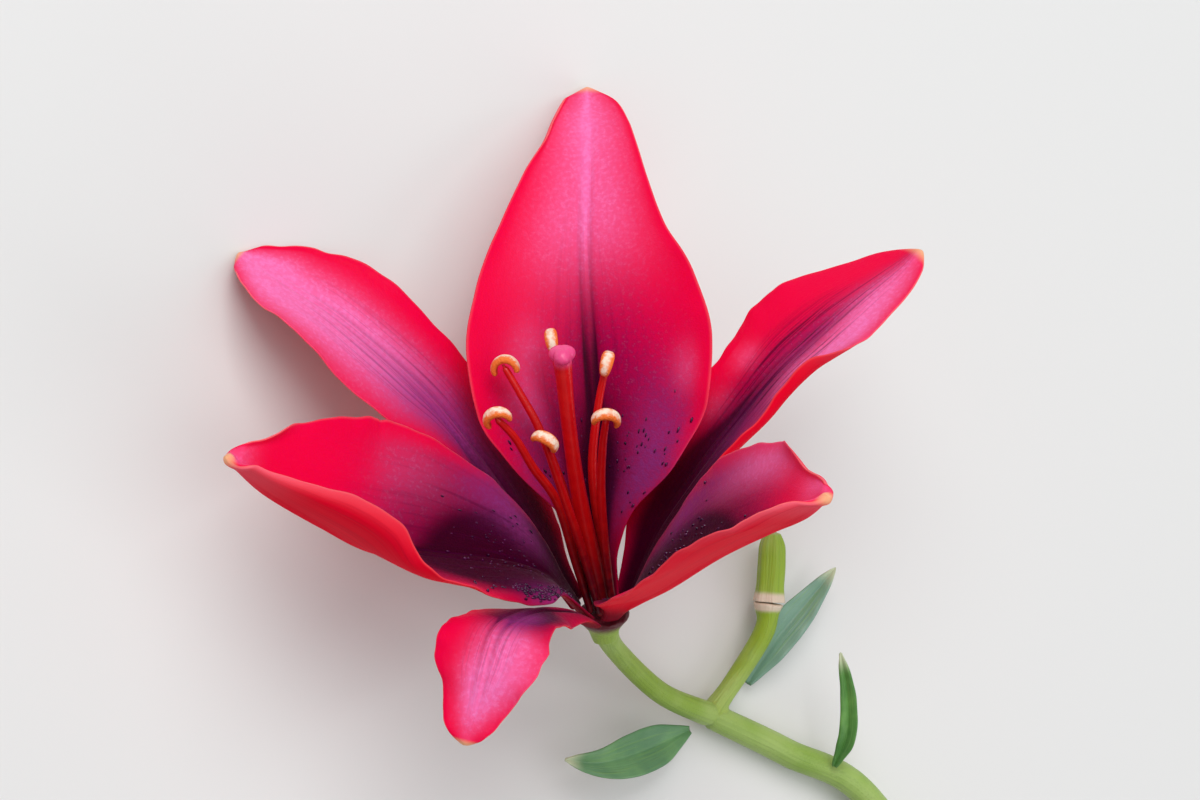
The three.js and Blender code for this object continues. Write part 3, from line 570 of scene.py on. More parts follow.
# Tepals
# clock: degrees from the back toward the right. spine: [out, up, sideways] from the bloom's axis.
# width, fold, curl and roll: [along, left half, right half].
# fold, curl and roll are the degrees that a half turns inward: from the midrib, toward the margin, and at it.
# ruffle: [height, waves, phase] of the left and the right margin. edge: how red each margin is.
# Patches of colour: [along, across, reach along, reach across, strength]. The pink patches are pink tone with
# a painted sheen; the lilac ones are a painted reflection of the sky.
# papillae: [along, across, reach along, reach across, count, size].
tepals = {
    "tepal_top": {
        "clock": 2, "roundFrom": 0.88,
        "spine": [
            [3.9, 0.6, 0], [7.4, 15, 0], [11.2, 29, 0], [19, 43, -0.5], [32, 56, -1], [49, 66.6, -0.5],
            [66.4, 72.2, -0.2]],
        "width": [
            [0, 3.2, 3.2], [0.08, 3.9, 3.6], [0.14, 6, 5.2], [0.2, 8.8, 7.8], [0.3, 16.5, 16], [0.4, 22, 22],
            [0.5, 23, 23.2], [0.6, 20.5, 20.4], [0.7, 15.5, 14.8], [0.8, 10.7, 11], [0.9, 7.3, 8],
            [0.96, 6, 6.6], [1, 4, 4.4]],
        "fold": [[0, 8, 8], [0.1, 30, 30], [0.4, 16, 16], [0.8, 8, 8], [1, 0, 0]],
        "curl": [[0, 45, 45], [0.1, 35, 35], [0.5, 20, 20], [1, 40, 20]],
        "ruffle": [[0.5, 3, 0], [0.5, 3, 0.3]],
        "roll": [[0, 0, 0], [0.78, 0, 0], [0.86, 80, 0], [0.93, 80, 0], [1, 0, 0]],
        "pink": [
            [0.9, 0, 0.14, 0.75, 0.8], [0.72, 0.28, 0.09, 0.42, 0.45], [0.7, -0.32, 0.09, 0.35, 0.35],
            [0.92, 0, 0.14, 0.12, 0.4], [0.75, 0, 0.12, 0.07, 0.4], [0.5, -0.5, 0.05, 0.15, 0.25],
            [0.41, -0.55, 0.05, 0.15, 0.3], [0.45, 0.78, 0.04, 0.12, 0.25]],
        "magenta": [[0.46, 0.05, 0.2, 0.55, 1], [0.32, 0.6, 0.14, 0.5, 0.85], [0.3, -0.6, 0.14, 0.45, 0.85]],
        "lilac": [
            [0.26, 0.75, 0.1, 0.33, 1], [0.36, 0.55, 0.09, 0.22, 0.45], [0.23, -0.78, 0.08, 0.3, 0.9],
            [0.34, -0.5, 0.08, 0.22, 0.35]],
        "dark": [
            [0, 0, 0.15, 1.6, 1], [0.2, 0.05, 0.14, 0.5, 0.95], [0.35, 0.02, 0.14, 0.32, 0.7],
            [0.5, 0, 0.1, 0.1, 0.5]],
        "veined": [[0.35, 0, 0.25, 0.3, 0.5]], "redEdge": [], "edge": [0.9, 0.9], "knob": 0.1,
        "papillae": [[0.31, -0.35, 0.08, 0.35, 26, 0.8], [0.31, 0.4, 0.09, 0.4, 46, 0.8]],
    },
    "tepal_upper_right": {
        "clock": 62, "roundFrom": 0.93,
        "spine": [
            [5, 0.6, 0], [12, 13, 0], [21, 23, 0], [29.2, 30.5, 0], [37, 37.2, 0], [45, 42, 0], [54, 46.5, 0],
            [68.5, 52.5, 0]],
        "width": [
            [0, 3, 3], [0.08, 4.4, 3.4], [0.15, 7, 6], [0.3, 9.2, 10.5], [0.5, 11.5, 14.5], [0.68, 15, 14.8],
            [0.8, 14.5, 12.8], [0.92, 9, 8.5], [1, 4, 4]],
        "fold": [[0, 6, 6], [0.1, 20, 12], [0.25, 16, 14], [0.5, 10, 12], [1, 0, 0]],
        "curl": [[0, 38, 38], [0.5, 10, 50], [0.75, 0, 30], [1, 10, 0]],
        "ruffle": [[0.8, 3, 0], [0.8, 3, 0.3]],
        "roll": [[0, 0, 0], [0.4, 0, 20], [0.6, 0, 50], [0.75, 0, 0], [1, 0, 0]],
        "pink": [
            [0.78, 0.6, 0.16, 0.35, 1], [0.58, 0.5, 0.12, 0.35, 0.7], [0.9, 0.25, 0.1, 0.3, 0.6],
            [0.56, -0.65, 0.04, 0.22, 0.8], [0.42, -0.5, 0.05, 0.25, 0.3]],
        "magenta": [[0.45, 0, 0.2, 0.7, 1], [0.7, 0, 0.3, 0.3, 0.9]],
        "lilac": [[0.7, 0.1, 0.2, 0.18, 0.3], [0.42, 0.35, 0.12, 0.35, 0.5]],
        "dark": [
            [0, 0, 0.24, 1.6, 1], [0.27, 0.1, 0.15, 0.9, 1], [0.42, 0.05, 0.14, 0.3, 0.65],
            [0.6, 0.08, 0.15, 0.12, 0.35]],
        "veined": [[0.45, 0.1, 0.25, 0.5, 1], [0.75, 0, 0.25, 0.35, 1]],
        "redEdge": [[0.7, -0.8, 0.3, 0.35, 1]], "edge": [1, 0.25], "knob": 0.9, "papillae": [],
    },
    "tepal_right": {
        "clock": 145, "roundFrom": 0.9,
        "spine": [
            [3.9, 0.6, 0], [9.5, 6.9, 0], [20.5, 16.3, 0], [34.7, 29.5, 0], [48, 40.6, 0], [56.7, 47.5, 0],
            [63.5, 54, 0]],
        "width": [
            [0, 3.1, 3.1], [0.08, 3.8, 3.8], [0.2, 12, 9], [0.3, 17, 13], [0.4, 19.5, 16], [0.5, 20, 17.5],
            [0.6, 18.5, 17], [0.7, 14, 15], [0.8, 9.5, 12], [0.93, 5.5, 7], [1, 2, 2]],
        "fold": [
            [0, 8, 8], [0.1, 30, 15], [0.2, 40, 16], [0.3, 45, 6], [0.5, 45, 3], [0.7, 45, 8], [1, 45, 15]],
        "curl": [[0, 45, 45], [0.1, 20, 20], [0.3, 10, 0], [0.5, 10, 0], [1, 0, 10]],
        "ruffle": [[0.8, 3, 0], [0.5, 3, 0.3]],
        "roll": [[0, 0, 0], [0.6, 0, 0], [0.75, 60, 20], [0.9, 80, 40], [1, 20, 20]],
        "pink": [
            [0.58, -0.8, 0.12, 0.25, 0.75], [0.9, -0.6, 0.1, 0.4, 0.5], [0.9, 0.7, 0.12, 0.3, 0.5],
            [0.45, -0.65, 0.08, 0.2, 0.4]],
        "magenta": [[0.5, -0.2, 0.18, 0.9, 1]],
        "lilac": [[0.33, -0.82, 0.13, 0.22, 1], [0.12, 0.7, 0.05, 0.4, 0.7]],
        "dark": [
            [0, 0, 0.22, 1.6, 1], [0.25, 0.1, 0.17, 1, 1], [0.36, 0.1, 0.13, 0.6, 0.95],
            [0.43, 0.05, 0.14, 0.6, 0.85], [0.55, 0, 0.12, 0.4, 0.4]],
        "veined": [[0.35, -0.2, 0.2, 0.6, 0.4]], "redEdge": [], "edge": [0.4, 0.8], "knob": 0.9,
        "papillae": [
            [0.33, -0.1, 0.11, 0.4, 180, 0.95], [0.3, 0.3, 0.08, 0.25, 70, 0.85],
            [0.18, 0.6, 0.05, 0.3, 30, 0.8]],
    },
    "tepal_bottom": {
        "clock": 205, "roundFrom": 0.92,
        "spine": [
            [5.45, 0.5, 0], [12.5, 7.6, 0], [23.5, 15.2, 0], [34, 20.5, 0], [42, 22.5, 0], [47.5, 19, 0],
            [51.5, 14, 0], [56, 9, 0]],
        "width": [
            [0, 2, 2], [0.08, 2.7, 2.7], [0.15, 3.6, 3.8], [0.25, 5, 5], [0.31, 6.2, 8], [0.36, 6.8, 9.6],
            [0.42, 7.4, 9.2], [0.5, 8.4, 9.4], [0.6, 9.8, 9.6], [0.7, 9.8, 9.2], [0.8, 7.8, 6.8],
            [0.92, 4.8, 4.8], [1, 3, 3]],
        "fold": [
            [0, 2, 2], [0.1, -8, -5], [0.25, -20, -18], [0.35, -12, -12], [0.5, -10, -2], [0.65, -5, -5],
            [1, 5, 5]],
        "curl": [[0, 25, 25], [0.1, 0, 0], [0.5, 0, 0], [1, 10, 10]],
        "ruffle": [[0.8, 3, 0], [0.8, 3, 0.3]],
        "roll": [[0, 0, 0], [1, 0, 0]],
        "pink": [[0.72, -0.3, 0.15, 0.7, 0.85], [0.84, 0, 0.12, 0.5, 0.8], [0.58, -0.3, 0.08, 0.4, 0.4]],
        "magenta": [[0.4, 0, 0.2, 1, 0.8]],
        "lilac": [[0.5, -0.2, 0.08, 0.3, 0.7], [0.42, -0.4, 0.06, 0.3, 0.5]],
        "dark": [[0, 0, 0.28, 1.6, 1], [0.38, -0.1, 0.11, 1.1, 0.95], [0.44, 0.1, 0.08, 0.7, 0.7]],
        "veined": [[0.5, 0, 0.3, 0.4, 0.5]],
        "redEdge": [[0.6, 0.85, 0.3, 0.4, 1]], "edge": [0.15, 1], "knob": 0.4, "papillae": [],
    },
    "tepal_left": {
        "clock": 245, "roundFrom": 0.94,
        "spine": [
            [3.9, 0.6, 0], [10.8, 10.8, 0], [19, 16.7, 0], [31.4, 22.2, 0], [42.5, 27.6, 0], [51, 35.3, 0],
            [60, 44.5, 0], [66.4, 53, 0]],
        "width": [
            [0, 3.1, 3.1], [0.08, 3.5, 3.7], [0.12, 5, 6], [0.2, 10.5, 12], [0.3, 12.5, 16.5],
            [0.4, 15.5, 21.5], [0.5, 17.5, 24], [0.62, 18, 23], [0.8, 13, 16], [0.93, 6, 6.5], [1, 2, 2]],
        "fold": [[0, 8, 8], [0.1, 5, 30], [0.3, 0, 40], [0.5, 5, 48], [0.7, 22, 47], [1, 28, 45]],
        "curl": [[0, 45, 45], [0.1, 0, 20], [0.2, -22, 0], [0.3, -18, 0], [0.5, 20, 0], [1, 30, 0]],
        "ruffle": [[0.8, 3, 0], [0.5, 3, 0.3]],
        "roll": [[0, 0, 0], [0.45, 0, 0], [0.6, 40, 0], [0.8, 60, 0], [0.88, 60, 60], [1, 30, 30]],
        "pink": [[0.45, 0.6, 0.12, 0.3, 0.25], [0.97, 0, 0.05, 1, 0.5]],
        "magenta": [[0.46, 0.1, 0.16, 0.8, 1], [0.3, 0.5, 0.12, 0.5, 0.8]],
        "lilac": [[0.27, 0.8, 0.08, 0.28, 1], [0.2, 0.55, 0.06, 0.25, 0.5], [0.19, -0.85, 0.09, 0.3, 0.8]],
        "dark": [
            [0, 0, 0.17, 1.6, 1], [0.15, 0.35, 0.11, 0.7, 0.95], [0.24, -0.25, 0.15, 0.8, 0.85],
            [0.36, -0.2, 0.18, 0.7, 0.6], [0.32, 0.2, 0.16, 0.6, 0.4], [0.47, -0.3, 0.14, 0.5, 0.35]],
        "veined": [[0.32, 0, 0.2, 0.6, 1]], "redEdge": [], "edge": [0.9, 0.8], "knob": 0.9,
        "papillae": [[0.28, 0.1, 0.08, 0.4, 70, 0.7], [0.22, -0.78, 0.1, 0.14, 150, 0.85]],
    },
    "tepal_upper_left": {
        "clock": 292, "roundFrom": 0.94,
        "spine": [
            [5.25, 0.6, 0], [12.6, 13.2, 0], [22, 27.6, 0], [31.6, 39.8, 0], [46, 52, 0], [57, 58.5, 0],
            [65.5, 63, 0]],
        "width": [
            [0, 2.6, 2.6], [0.08, 2.9, 4], [0.15, 3, 7], [0.25, 3.4, 9.8], [0.36, 4.2, 11], [0.45, 7, 12.5],
            [0.54, 12, 13], [0.68, 14.6, 13], [0.82, 12.4, 11], [0.92, 8, 6], [1, 4, 2]],
        "fold": [
            [0, 6, 6], [0.1, 0, 10], [0.2, -18, 10], [0.36, -24, 10], [0.46, -14, 12], [0.58, 0, 12],
            [0.72, 8, 10], [1, 5, 5]],
        "curl": [[0, 38, 38], [0.12, 0, 10], [0.5, 10, 10], [1, 10, 10]],
        "ruffle": [[0.8, 3, 0], [0.8, 3, 0.3]],
        "roll": [[0, 0, 0], [0.6, 0, 0], [0.75, 0, 40], [1, 20, 20]],
        "pink": [[0.8, -0.25, 0.2, 0.7, 1], [0.6, -0.1, 0.14, 0.5, 0.85], [0.92, 0.1, 0.1, 0.6, 0.7]],
        "magenta": [[0.42, 0.1, 0.2, 0.9, 1]],
        "lilac": [[0.48, -0.2, 0.12, 0.45, 0.75], [0.36, 0.2, 0.12, 0.5, 0.6]],
        "dark": [[0, 0, 0.22, 1.6, 1], [0.25, 0.1, 0.14, 0.8, 0.95], [0.36, -0.2, 0.1, 0.4, 0.5]],
        "veined": [[0.4, 0, 0.25, 0.5, 0.8]],
        "redEdge": [[0.6, 0.95, 0.3, 0.35, 1]], "edge": [0.15, 0.9], "knob": 0.45, "papillae": [],
    },
}
blade = {
    "columns": 104, "rows": 210, "tipEnd": 1.004, "curlSteps": 12, "creaseReach": 0.06,
    "midThickness": 1.05, "marginThickness": 0.62, "clawThickness": 0.8,
    "grooveOut": 1.0, "grooveDepth": 0.32, "grooveReach": 0.45, "keel": 0.45, "keelReach": 1.3,
    "furrowReach": 0.4, "furrowDark": 0.42, "knobPlace": 0.985, "knobReach": 0.02, "crowding": 1.25,
    "taperFrom": 0.97, "taperEnd": 1.0004, "flatFrom": 0.95, "flatTo": 0.99, "crimp": 0.16, "fineCrimp": 0.07,
    "seed": 31,
}


def tepalMiddle(shape, u, v):
    clock = math.radians(shape["clock"])
    outward = np.array([math.sin(clock), math.cos(clock), 0.0])
    sideways = np.array([math.cos(clock), -math.sin(clock), 0.0])

    def spineAt(w):
        spine = curveAt(shape["spine"], w)
        return spine[:, :1] * outward + spine[:, 2:] * sideways + spine[:, 1:2] * np.array([0, 0, 1.0])

    tangent = tangentOf(spineAt, u)
    across = unit(sideways - tangent * (tangent @ sideways)[:, None])
    inward = np.cross(across, tangent)
    left = v < 0
    reach = np.abs(v)

    def half(rows):
        return np.where(left, tableAt(rows, u, 1), tableAt(rows, u, 2))

    width = half(shape["width"])
    roundFrom = shape["roundFrom"]
    past = np.clip((u - roundFrom) / (blade["tipEnd"] - roundFrom), 0, 1)
    taper = np.clip((u - blade["taperFrom"]) / (blade["taperEnd"] - blade["taperFrom"]), 0, 1)
    width = width * np.sqrt(1 - past ** 2) * np.sqrt(1 - taper ** 2)
    fold, curl, roll = half(shape["fold"]), half(shape["curl"]), half(shape["roll"])
    flatTip = 1 - smoothStep(u, blade["flatFrom"], blade["flatTo"])
    point = spineAt(u)
    steps = blade["curlSteps"]
    for k in range(steps):
        c = (k + 0.5) / steps * reach
        crease = np.clip(c / blade["creaseReach"], 0, 1)
        angle = np.radians(fold * crease + curl * c * c + roll * smoothStep(c, 0.72, 1)) * flatTip
        length = (width * reach / steps)[:, None]
        point = point + across * length * (np.cos(angle) * np.sign(v))[:, None]
        point = point + inward * length * np.sin(angle)[:, None]
    ruffle = shape["ruffle"]
    height = np.where(left, ruffle[0][0], ruffle[1][0])
    waves = np.where(left, ruffle[0][1], ruffle[1][1])
    phase = np.where(left, ruffle[0][2], ruffle[1][2])
    fade = np.sqrt(np.clip(np.sin(math.pi * np.clip((u - 0.15) / 0.85, 0, 1)), 0, 1))
    wave = np.sin(2 * math.pi * (waves * u + phase)) * reach ** 3 * height
    crimp = blade["crimp"] * np.sin(2 * math.pi * (9 * u + 3 * phase + 0.7 * v)) * reach ** 6
    crimp += blade["fineCrimp"] * np.sin(2 * math.pi * (17 * u + phase)) * reach ** 8
    point = point + inward * (fade * (wave + crimp))[:, None]
    return point, width


def tepalNormal(shape, u, v):
    return surfaceNormal(lambda along, across: tepalMiddle(shape, along, across)[0], u, v)


def acrossFrom(s):
    # The grid goes over the inner face from left margin to right, then back over the outer face.
    inner = s <= 0.5
    way = np.where(inner, 4 * s - 1, 3 - 4 * s)
    return 0.45 * way + 0.55 * np.sin(math.pi / 2 * way), inner


def alongFrom(r):
    # Rows lie closer together toward the tip.
    return 1 - np.clip(1 - r, 0, 1) ** blade["crowding"]


def tepalColours(shape, u, v, fromRib):
    reach = np.abs(v)
    furrow = blade["furrowDark"] * bell(fromRib - blade["grooveOut"], blade["furrowReach"])
    furrow = furrow * (1 - smoothStep(u, 0.5, 0.85)) * smoothStep(u, 0.1, 0.2)
    margin = smoothStep(reach, 0.8, 0.97) * smoothStep(u, 0.25, 0.45)
    redMargin = margin * np.where(v < 0, *shape["edge"])
    # A painted highlight along the margins, where the thin edge catches light and lets it through.
    rim = smoothStep(reach, 0.975, 0.992) * smoothStep(u, 0.2, 0.5)
    # Paler outer skin near the tip and at the margins, partly a painted highlight on the rolled margins.
    paleMargin = smoothStep(u, 0.55, 0.85) * smoothStep(reach, 0.8, 1)
    painted = ("pink", "magenta", "lilac", "dark", "veined", "redEdge")
    spots = {key: patches(shape[key], u, v) for key in painted}
    spots["dark"] = np.clip(spots["dark"] + furrow, 0, 1)
    spots["redEdge"] = np.clip(spots["redEdge"] + redMargin, 0, 1)
    return spots | {
        "rim": rim * (0.3 + 0.6 * smoothStep(u, 0.7, 0.95)), "knob": smoothStep(u, 0.976, 0.998),
        "backPale": np.clip((smoothStep(u, 0.8, 0.98) + paleMargin) * 0.5, 0, 1),
        "backDark": 1 - smoothStep(u, 0.04, 0.2),
    }


def makeTepal(name, shape):
    def place(s, r):
        v, inner = acrossFrom(s)
        u = alongFrom(r)
        middle, width = tepalMiddle(shape, u, v)
        normal = tepalNormal(shape, u, v)
        rib = blade["clawThickness"]
        rib = rib + (blade["midThickness"] - rib) * np.minimum(1, u / 0.15)
        thick = blade["marginThickness"] + (rib - blade["marginThickness"]) * (1 - v * v)
        thick = thick + shape["knob"] * bell(blade["knobPlace"] - u, blade["knobReach"]) * (1 - v * v)
        edge = np.sqrt(np.clip(1 - np.abs(v) ** 14, 0, 1))
        ends = np.sqrt(1 - np.clip((u - 0.985) / 0.015, 0, 1) ** 2) * np.sqrt(np.clip(u / 0.004, 0, 1))
        fromRib = np.abs(v) * width
        groove = bell(fromRib - blade["grooveOut"], blade["grooveReach"]) * smoothStep(u, 0.08, 0.25)
        groove = groove * (1 - smoothStep(u, 0.75, 0.95))
        innerFace = thick / 2 - blade["grooveDepth"] * groove
        keel = blade["keel"] * bell(fromRib, blade["keelReach"])
        keel = keel * smoothStep(u, 0.05, 0.2) * (1 - smoothStep(u, 0.85, 1))
        outerFace = -(thick / 2 + keel)
        offset = np.where(inner, innerFace, outerFace) * edge * ends
        points = onTable(middle + normal * offset[:, None], bloomToTable)
        # The tips that touch the table rest flat on it.
        points[:, 2] = np.maximum(points[:, 2], 0)
        return points, tepalColours(shape, u, v, fromRib)

    mesh = wrappedMesh(name, 2 * blade["columns"], blade["rows"], place)
    outer = (faceUvs(mesh)[:, 0] > 0.5).astype(np.int32)
    mesh.polygons.foreach_set("material_index", outer)
    uv = cornerUvs(mesh)
    laySurface(mesh, acrossFrom(uv[:, 0])[0], alongFrom(uv[:, 1]))
    return mesh


def makeHook():
    shape = bmesh.new()
    bmesh.ops.create_uvsphere(shape, u_segments=8, v_segments=5, radius=1.0)
    for face in shape.faces:
        face.smooth = True
        face.material_index = 2
    return meshOf(shape, "hook")


hook = makeHook()
hookCorners = np.array([vert.co[:] for vert in hook.vertices])


def addPapillae(mesh, shape, seed):
    # Small raised hooks that lean along the veins of the throat.
    rng = np.random.default_rng(seed)
    places = []
    for alongAt, acrossAt, alongReach, acrossReach, count, size in shape["papillae"]:
        u = np.clip(rng.normal(alongAt, alongReach * 0.7, count), 0.09, 0.6)
        v = np.clip(rng.normal(acrossAt, acrossReach * 0.7, count), -0.95, 0.93)
        places += list(zip(u, v, size * rng.uniform(0.6, 1.1, count)))
    if not places:
        return
    u, v, size = np.array(places).T
    middle = tepalMiddle(shape, u, v)[0]
    ahead = unit(tepalMiddle(shape, u + 0.004, v)[0] - middle)
    normal = tepalNormal(shape, u, v)
    side = np.cross(ahead, normal)
    x, y, z = hookCorners.T
    lean = 0.5 * np.maximum(z, 0) ** 2
    whole = bmesh.new()
    whole.from_mesh(mesh)
    done = len(whole.verts)
    for k in range(len(u)):
        whole.from_mesh(hook)
        whole.verts.ensure_lookup_table()
        long = (x * rng.uniform(0.8, 1.5) * (1 - 0.45 * np.maximum(z, 0)) + lean) * 0.55 * size[k]
        wide = y * 0.24 * size[k]
        tall = z * rng.uniform(0.5, 1.0) * 0.5 * size[k] + blade["marginThickness"] / 2 + 0.1
        points = middle[k] + ahead[k] * long[:, None] + side[k] * wide[:, None] + normal[k] * tall[:, None]
        for vert, point in zip(whole.verts[done:], onTable(points, bloomToTable)):
            vert.co = point
        done = len(whole.verts)
    whole.to_mesh(mesh)
    whole.free()


for number, (name, shape) in enumerate(tepals.items()):
    mesh = makeTepal(name, shape)
    addPapillae(mesh, shape, blade["seed"] + number)
    shown(mesh, name, [skins["inner"], skins["outer"], skins["papilla"]])
print("tepals made")


# Stamens, in the bloom frame
stamens = {
    "back": {
        "clock": 350, "arch": 180, "droop": 50, "arc": 150,
        "path": [[-1.7, 3.3, 15.7], [-3.4, 5.4, 28.8], [-5, 8.8, 40], [-6.3, 11.7, 49.1]]},
    "upper_left": {
        "clock": 303, "arch": 100, "droop": 20, "arc": 225,
        "path": [[-3.4, 1.9, 12], [-6, 2.8, 25], [-9.4, 4.4, 36], [-12.2, 6, 42], [-14.7, 7.5, 46.7]]},
    "left": {
        "clock": 240, "arch": 90, "droop": 10, "arc": 225,
        "path": [
            [-4.3, -2.1, 12], [-6.9, -2.6, 25], [-10.7, -3.6, 33], [-13.4, -4.4, 39.5], [-16.2, -5.3, 44]]},
    "front": {
        "clock": 190, "arch": 120, "droop": 30, "arc": 205,
        "path": [[-2.9, -4, 15], [-4.9, -5.8, 25], [-6.9, -7.8, 34.5], [-8.3, -10.5, 42]]},
    "right_front": {
        "clock": 130, "arch": 90, "droop": 10, "arc": 225,
        "path": [[1, -2.8, 15], [0.8, -4, 28], [1.5, -6, 38], [2.3, -8.1, 44.3]]},
    "right_back": {
        "clock": 55, "arch": 190, "droop": 35, "arc": 180,
        "path": [[0.2, 2.6, 15], [-0.5, 3.8, 28], [1.1, 5.4, 39.5], [2.9, 6.3, 47]]},
}
stamenSize = {
    "ring": 2.55, "base": 0.9, "radius": [0.6, 0.8, 0.8, 0.7, 0.6], "arcRadius": 2.0,
    "halfWidth": 1.15, "halfDepth": 0.85, "gap": 0.8, "end": 0.42, "thread": 0.75,
    "filamentGrid": (24, 110), "filamentCaps": (0.008, 0.012),
    "antherGrid": (36, 70), "antherCaps": (0.03, 0.03),
}
roundDirection = [0.2, 0.9, 0.4]


def limbMesh(name, points, halfWidth, halfDepth, grid, direction, basis, caps, extra=None, section=None):
    # grid: faces around and rows along. caps: how much of the length each rounded end takes.
    put = limbPlaces(points, halfWidth, halfDepth, grid[1], direction, caps, section)

    def place(s, r):
        at, u, turn, side = put(s, r)
        values = {"along": u}
        if extra:
            values.update(extra(u, turn, at, side))
        return onTable(at, basis), values

    return wrappedMesh(name, *grid, place)


def stamenPath(stamen):
    clock = math.radians(stamen["clock"])
    ring = stamenSize["ring"]
    return [[ring * math.sin(clock), ring * math.cos(clock), stamenSize["base"]]] + stamen["path"]


def makeFilament(name, stamen):
    # The thread that holds the anther is a short, thinner end of the filament.
    path = stamenPath(stamen)
    tip, below = curveAt(path, [1.0, 0.95])
    path = path + [list(tip + unit(tip - below) * stamenSize["thread"])]
    joint = (len(path) - 2) / (len(path) - 1)

    def radius(u):
        thread = 1 - 0.6 * smoothStep(u, joint - 0.02, joint + 0.03)
        return valueAlong(stamenSize["radius"], u / joint) * thread

    return limbMesh(
        name, path, radius, radius, stamenSize["filamentGrid"], roundDirection, bloomToTable,
        stamenSize["filamentCaps"])


def makeAnther(name, stamen):
    size = stamenSize
    path = stamenPath(stamen)
    tip, below = curveAt(path, [1.0, 0.95])
    up = unit(tip - below)
    clock = math.radians(stamen["arch"])
    arm = np.array([math.sin(clock), math.cos(clock), 0.0])
    arm = unit(arm - up * (arm @ up))
    side = np.cross(up, arm)
    droop = math.radians(stamen["droop"])
    armTurned = arm * math.cos(droop) - up * math.sin(droop)
    upTurned = arm * math.sin(droop) + up * math.cos(droop)
    centre = tip + upTurned * (size["gap"] + size["halfDepth"] - size["arcRadius"])
    turns = np.radians(stamen["arc"]) * (np.arange(9) / 8 - 0.5)
    points = [centre + (armTurned * math.sin(t) + upTurned * math.cos(t)) * size["arcRadius"] for t in turns]

    def swell(u):
        return size["end"] + (1 - size["end"]) * np.sqrt(np.clip(np.sin(math.pi * u), 0, 1))

    def section(turn, u):
        # Two sacs with a shallow furrow on the convex face and a deeper one underneath.
        return 1 - 0.10 * bell(np.sin(turn) - 1, 0.12) - 0.24 * bell(np.sin(turn) + 1, 0.2)

    def extra(u, turn, at, side):
        radial = unit(at - centre)
        outside = np.sum(radial * unit(side), axis=1)
        return {"outside": outside, "middle": smoothStep(np.sin(math.pi * u), 0.1, 0.55)}

    return limbMesh(
        name, points, lambda u: size["halfWidth"] * swell(u), lambda u: size["halfDepth"] * swell(u),
        size["antherGrid"], side, bloomToTable, size["antherCaps"], extra, section)


for key, stamen in stamens.items():
    for kind, make in [("filament", makeFilament), ("anther", makeAnther)]:
        node = kind + "_" + key
        shown(make(node, stamen), node, [skins[kind]])
print("stamens made")


# Pistil, in the bloom frame
pistil = {
    "path": [[0, 0, 0.7], [-1.6, -0.7, 13], [-3.2, -1.4, 27], [-4.1, -1.2, 40], [-4.6, -0.1, 53]],
    "radius": [1.5, 1.75, 1.6, 1.4, 1.3, 1.35, 1.6], "stigmaWide": 2.2, "stigmaTall": 1.65,
    "grid": (36, 120), "caps": (0.01, 0.01),
}


def makePistil():
    def radius(u):
        return valueAlong(pistil["radius"], u)

    def section(turn, u):
        # Three blunt ridges run up the style and spread into the stigma's lobes.
        return 1 + 0.05 * np.cos(3 * turn) * (1 - smoothStep(u, 0.85, 1))

    mesh = limbMesh(
        "pistil", pistil["path"], radius, radius, pistil["grid"], roundDirection, bloomToTable,
        pistil["caps"], lambda u, turn, at, side: {"stigma": smoothStep(u, 0.955, 0.985)}, section)
    shape = bmesh.new()
    shape.from_mesh(mesh)
    stigma = shape.verts.layers.float["stigma"]
    top = np.array(pistil["path"][-1])
    made = bmesh.ops.create_uvsphere(shape, u_segments=72, v_segments=40, radius=1.0)
    for vert in made["verts"]:
        x, y, z = vert.co
        turn = math.atan2(y, x)
        wave = math.cos(3 * (turn - math.radians(30)))
        flat = math.hypot(x, y)
        lobed = 1 + (0.13 * wave - 0.12 * math.exp(-(1 + wave) / 0.12)) * flat
        dimple = 0.22 * math.exp(-(flat / 0.3) ** 2) if z > 0 else 0.0
        wide, tall = pistil["stigmaWide"], pistil["stigmaTall"]
        high = z * tall * (1 - dimple) * (0.85 + 0.15 * lobed)
        point = top + np.array([x * wide * lobed, y * wide * lobed, high])
        vert.co = onTable(point[None], bloomToTable)[0]
        vert[stigma] = 1.0
    for face in {face for vert in made["verts"] for face in vert.link_faces}:
        face.smooth = True
    shape.to_mesh(mesh)
    shape.free()
    return mesh


shown(makePistil(), "pistil", [skins["pistil"]])
print("pistil made")


# Stem, in the plant frame
stem = {
    "junction": [20.2, -21.6, -34],
    "pedicel": [[0.1, -2.6, -1.5], [2.3, -7.4, -9], [10.6, -16.2, -21], [20.2, -21.6, -34]],
    "pedicelRadius": [2.6, 2.0, 2.0, 2.1, 2.4],
    "spent": [[20.2, -21.6, -34], [25.8, -14, -36.9], [30.6, -6, -37.1], [31.4, -0.6, -37]],
    "spentRadius": [2.3, 1.9, 1.9, 1.95, 2.0, 2.1, 3.0],
    "main": [[20.2, -21.6, -34], [35, -29.5, -43], [51.7, -39.6, -50], [70, -72, -60], [78, -138, -71]],
    "mainRadius": [2.5, 2.7, 2.7, 2.8, 2.9],
    "receptacle": [[0, -6], [2.1, -6], [2.9, -3.2], [4.2, -1.3], [4.9, -0.5], [4.6, 0], [0, 0]],
    "voxel": 0.00042, "grid": (32, 160),
    "caps": {"pedicel": (0.02, 0.02), "spent": (0.02, 0), "main": (0.01, 0)},
}


def nearestOn(points, path, samples=240):
    # Distance to a path, the place along it, and the offset from it.
    u = np.linspace(0, 1, samples)
    line = curveAt(path, u)
    best = np.full(len(points), 1e9)
    place = np.zeros(len(points))
    offset = np.zeros_like(points)
    for k in range(samples):
        away = points - line[k]
        far = np.linalg.norm(away, axis=1)
        closer = far < best
        best[closer], place[closer], offset[closer] = far[closer], u[k], away[closer]
    return best, place, offset


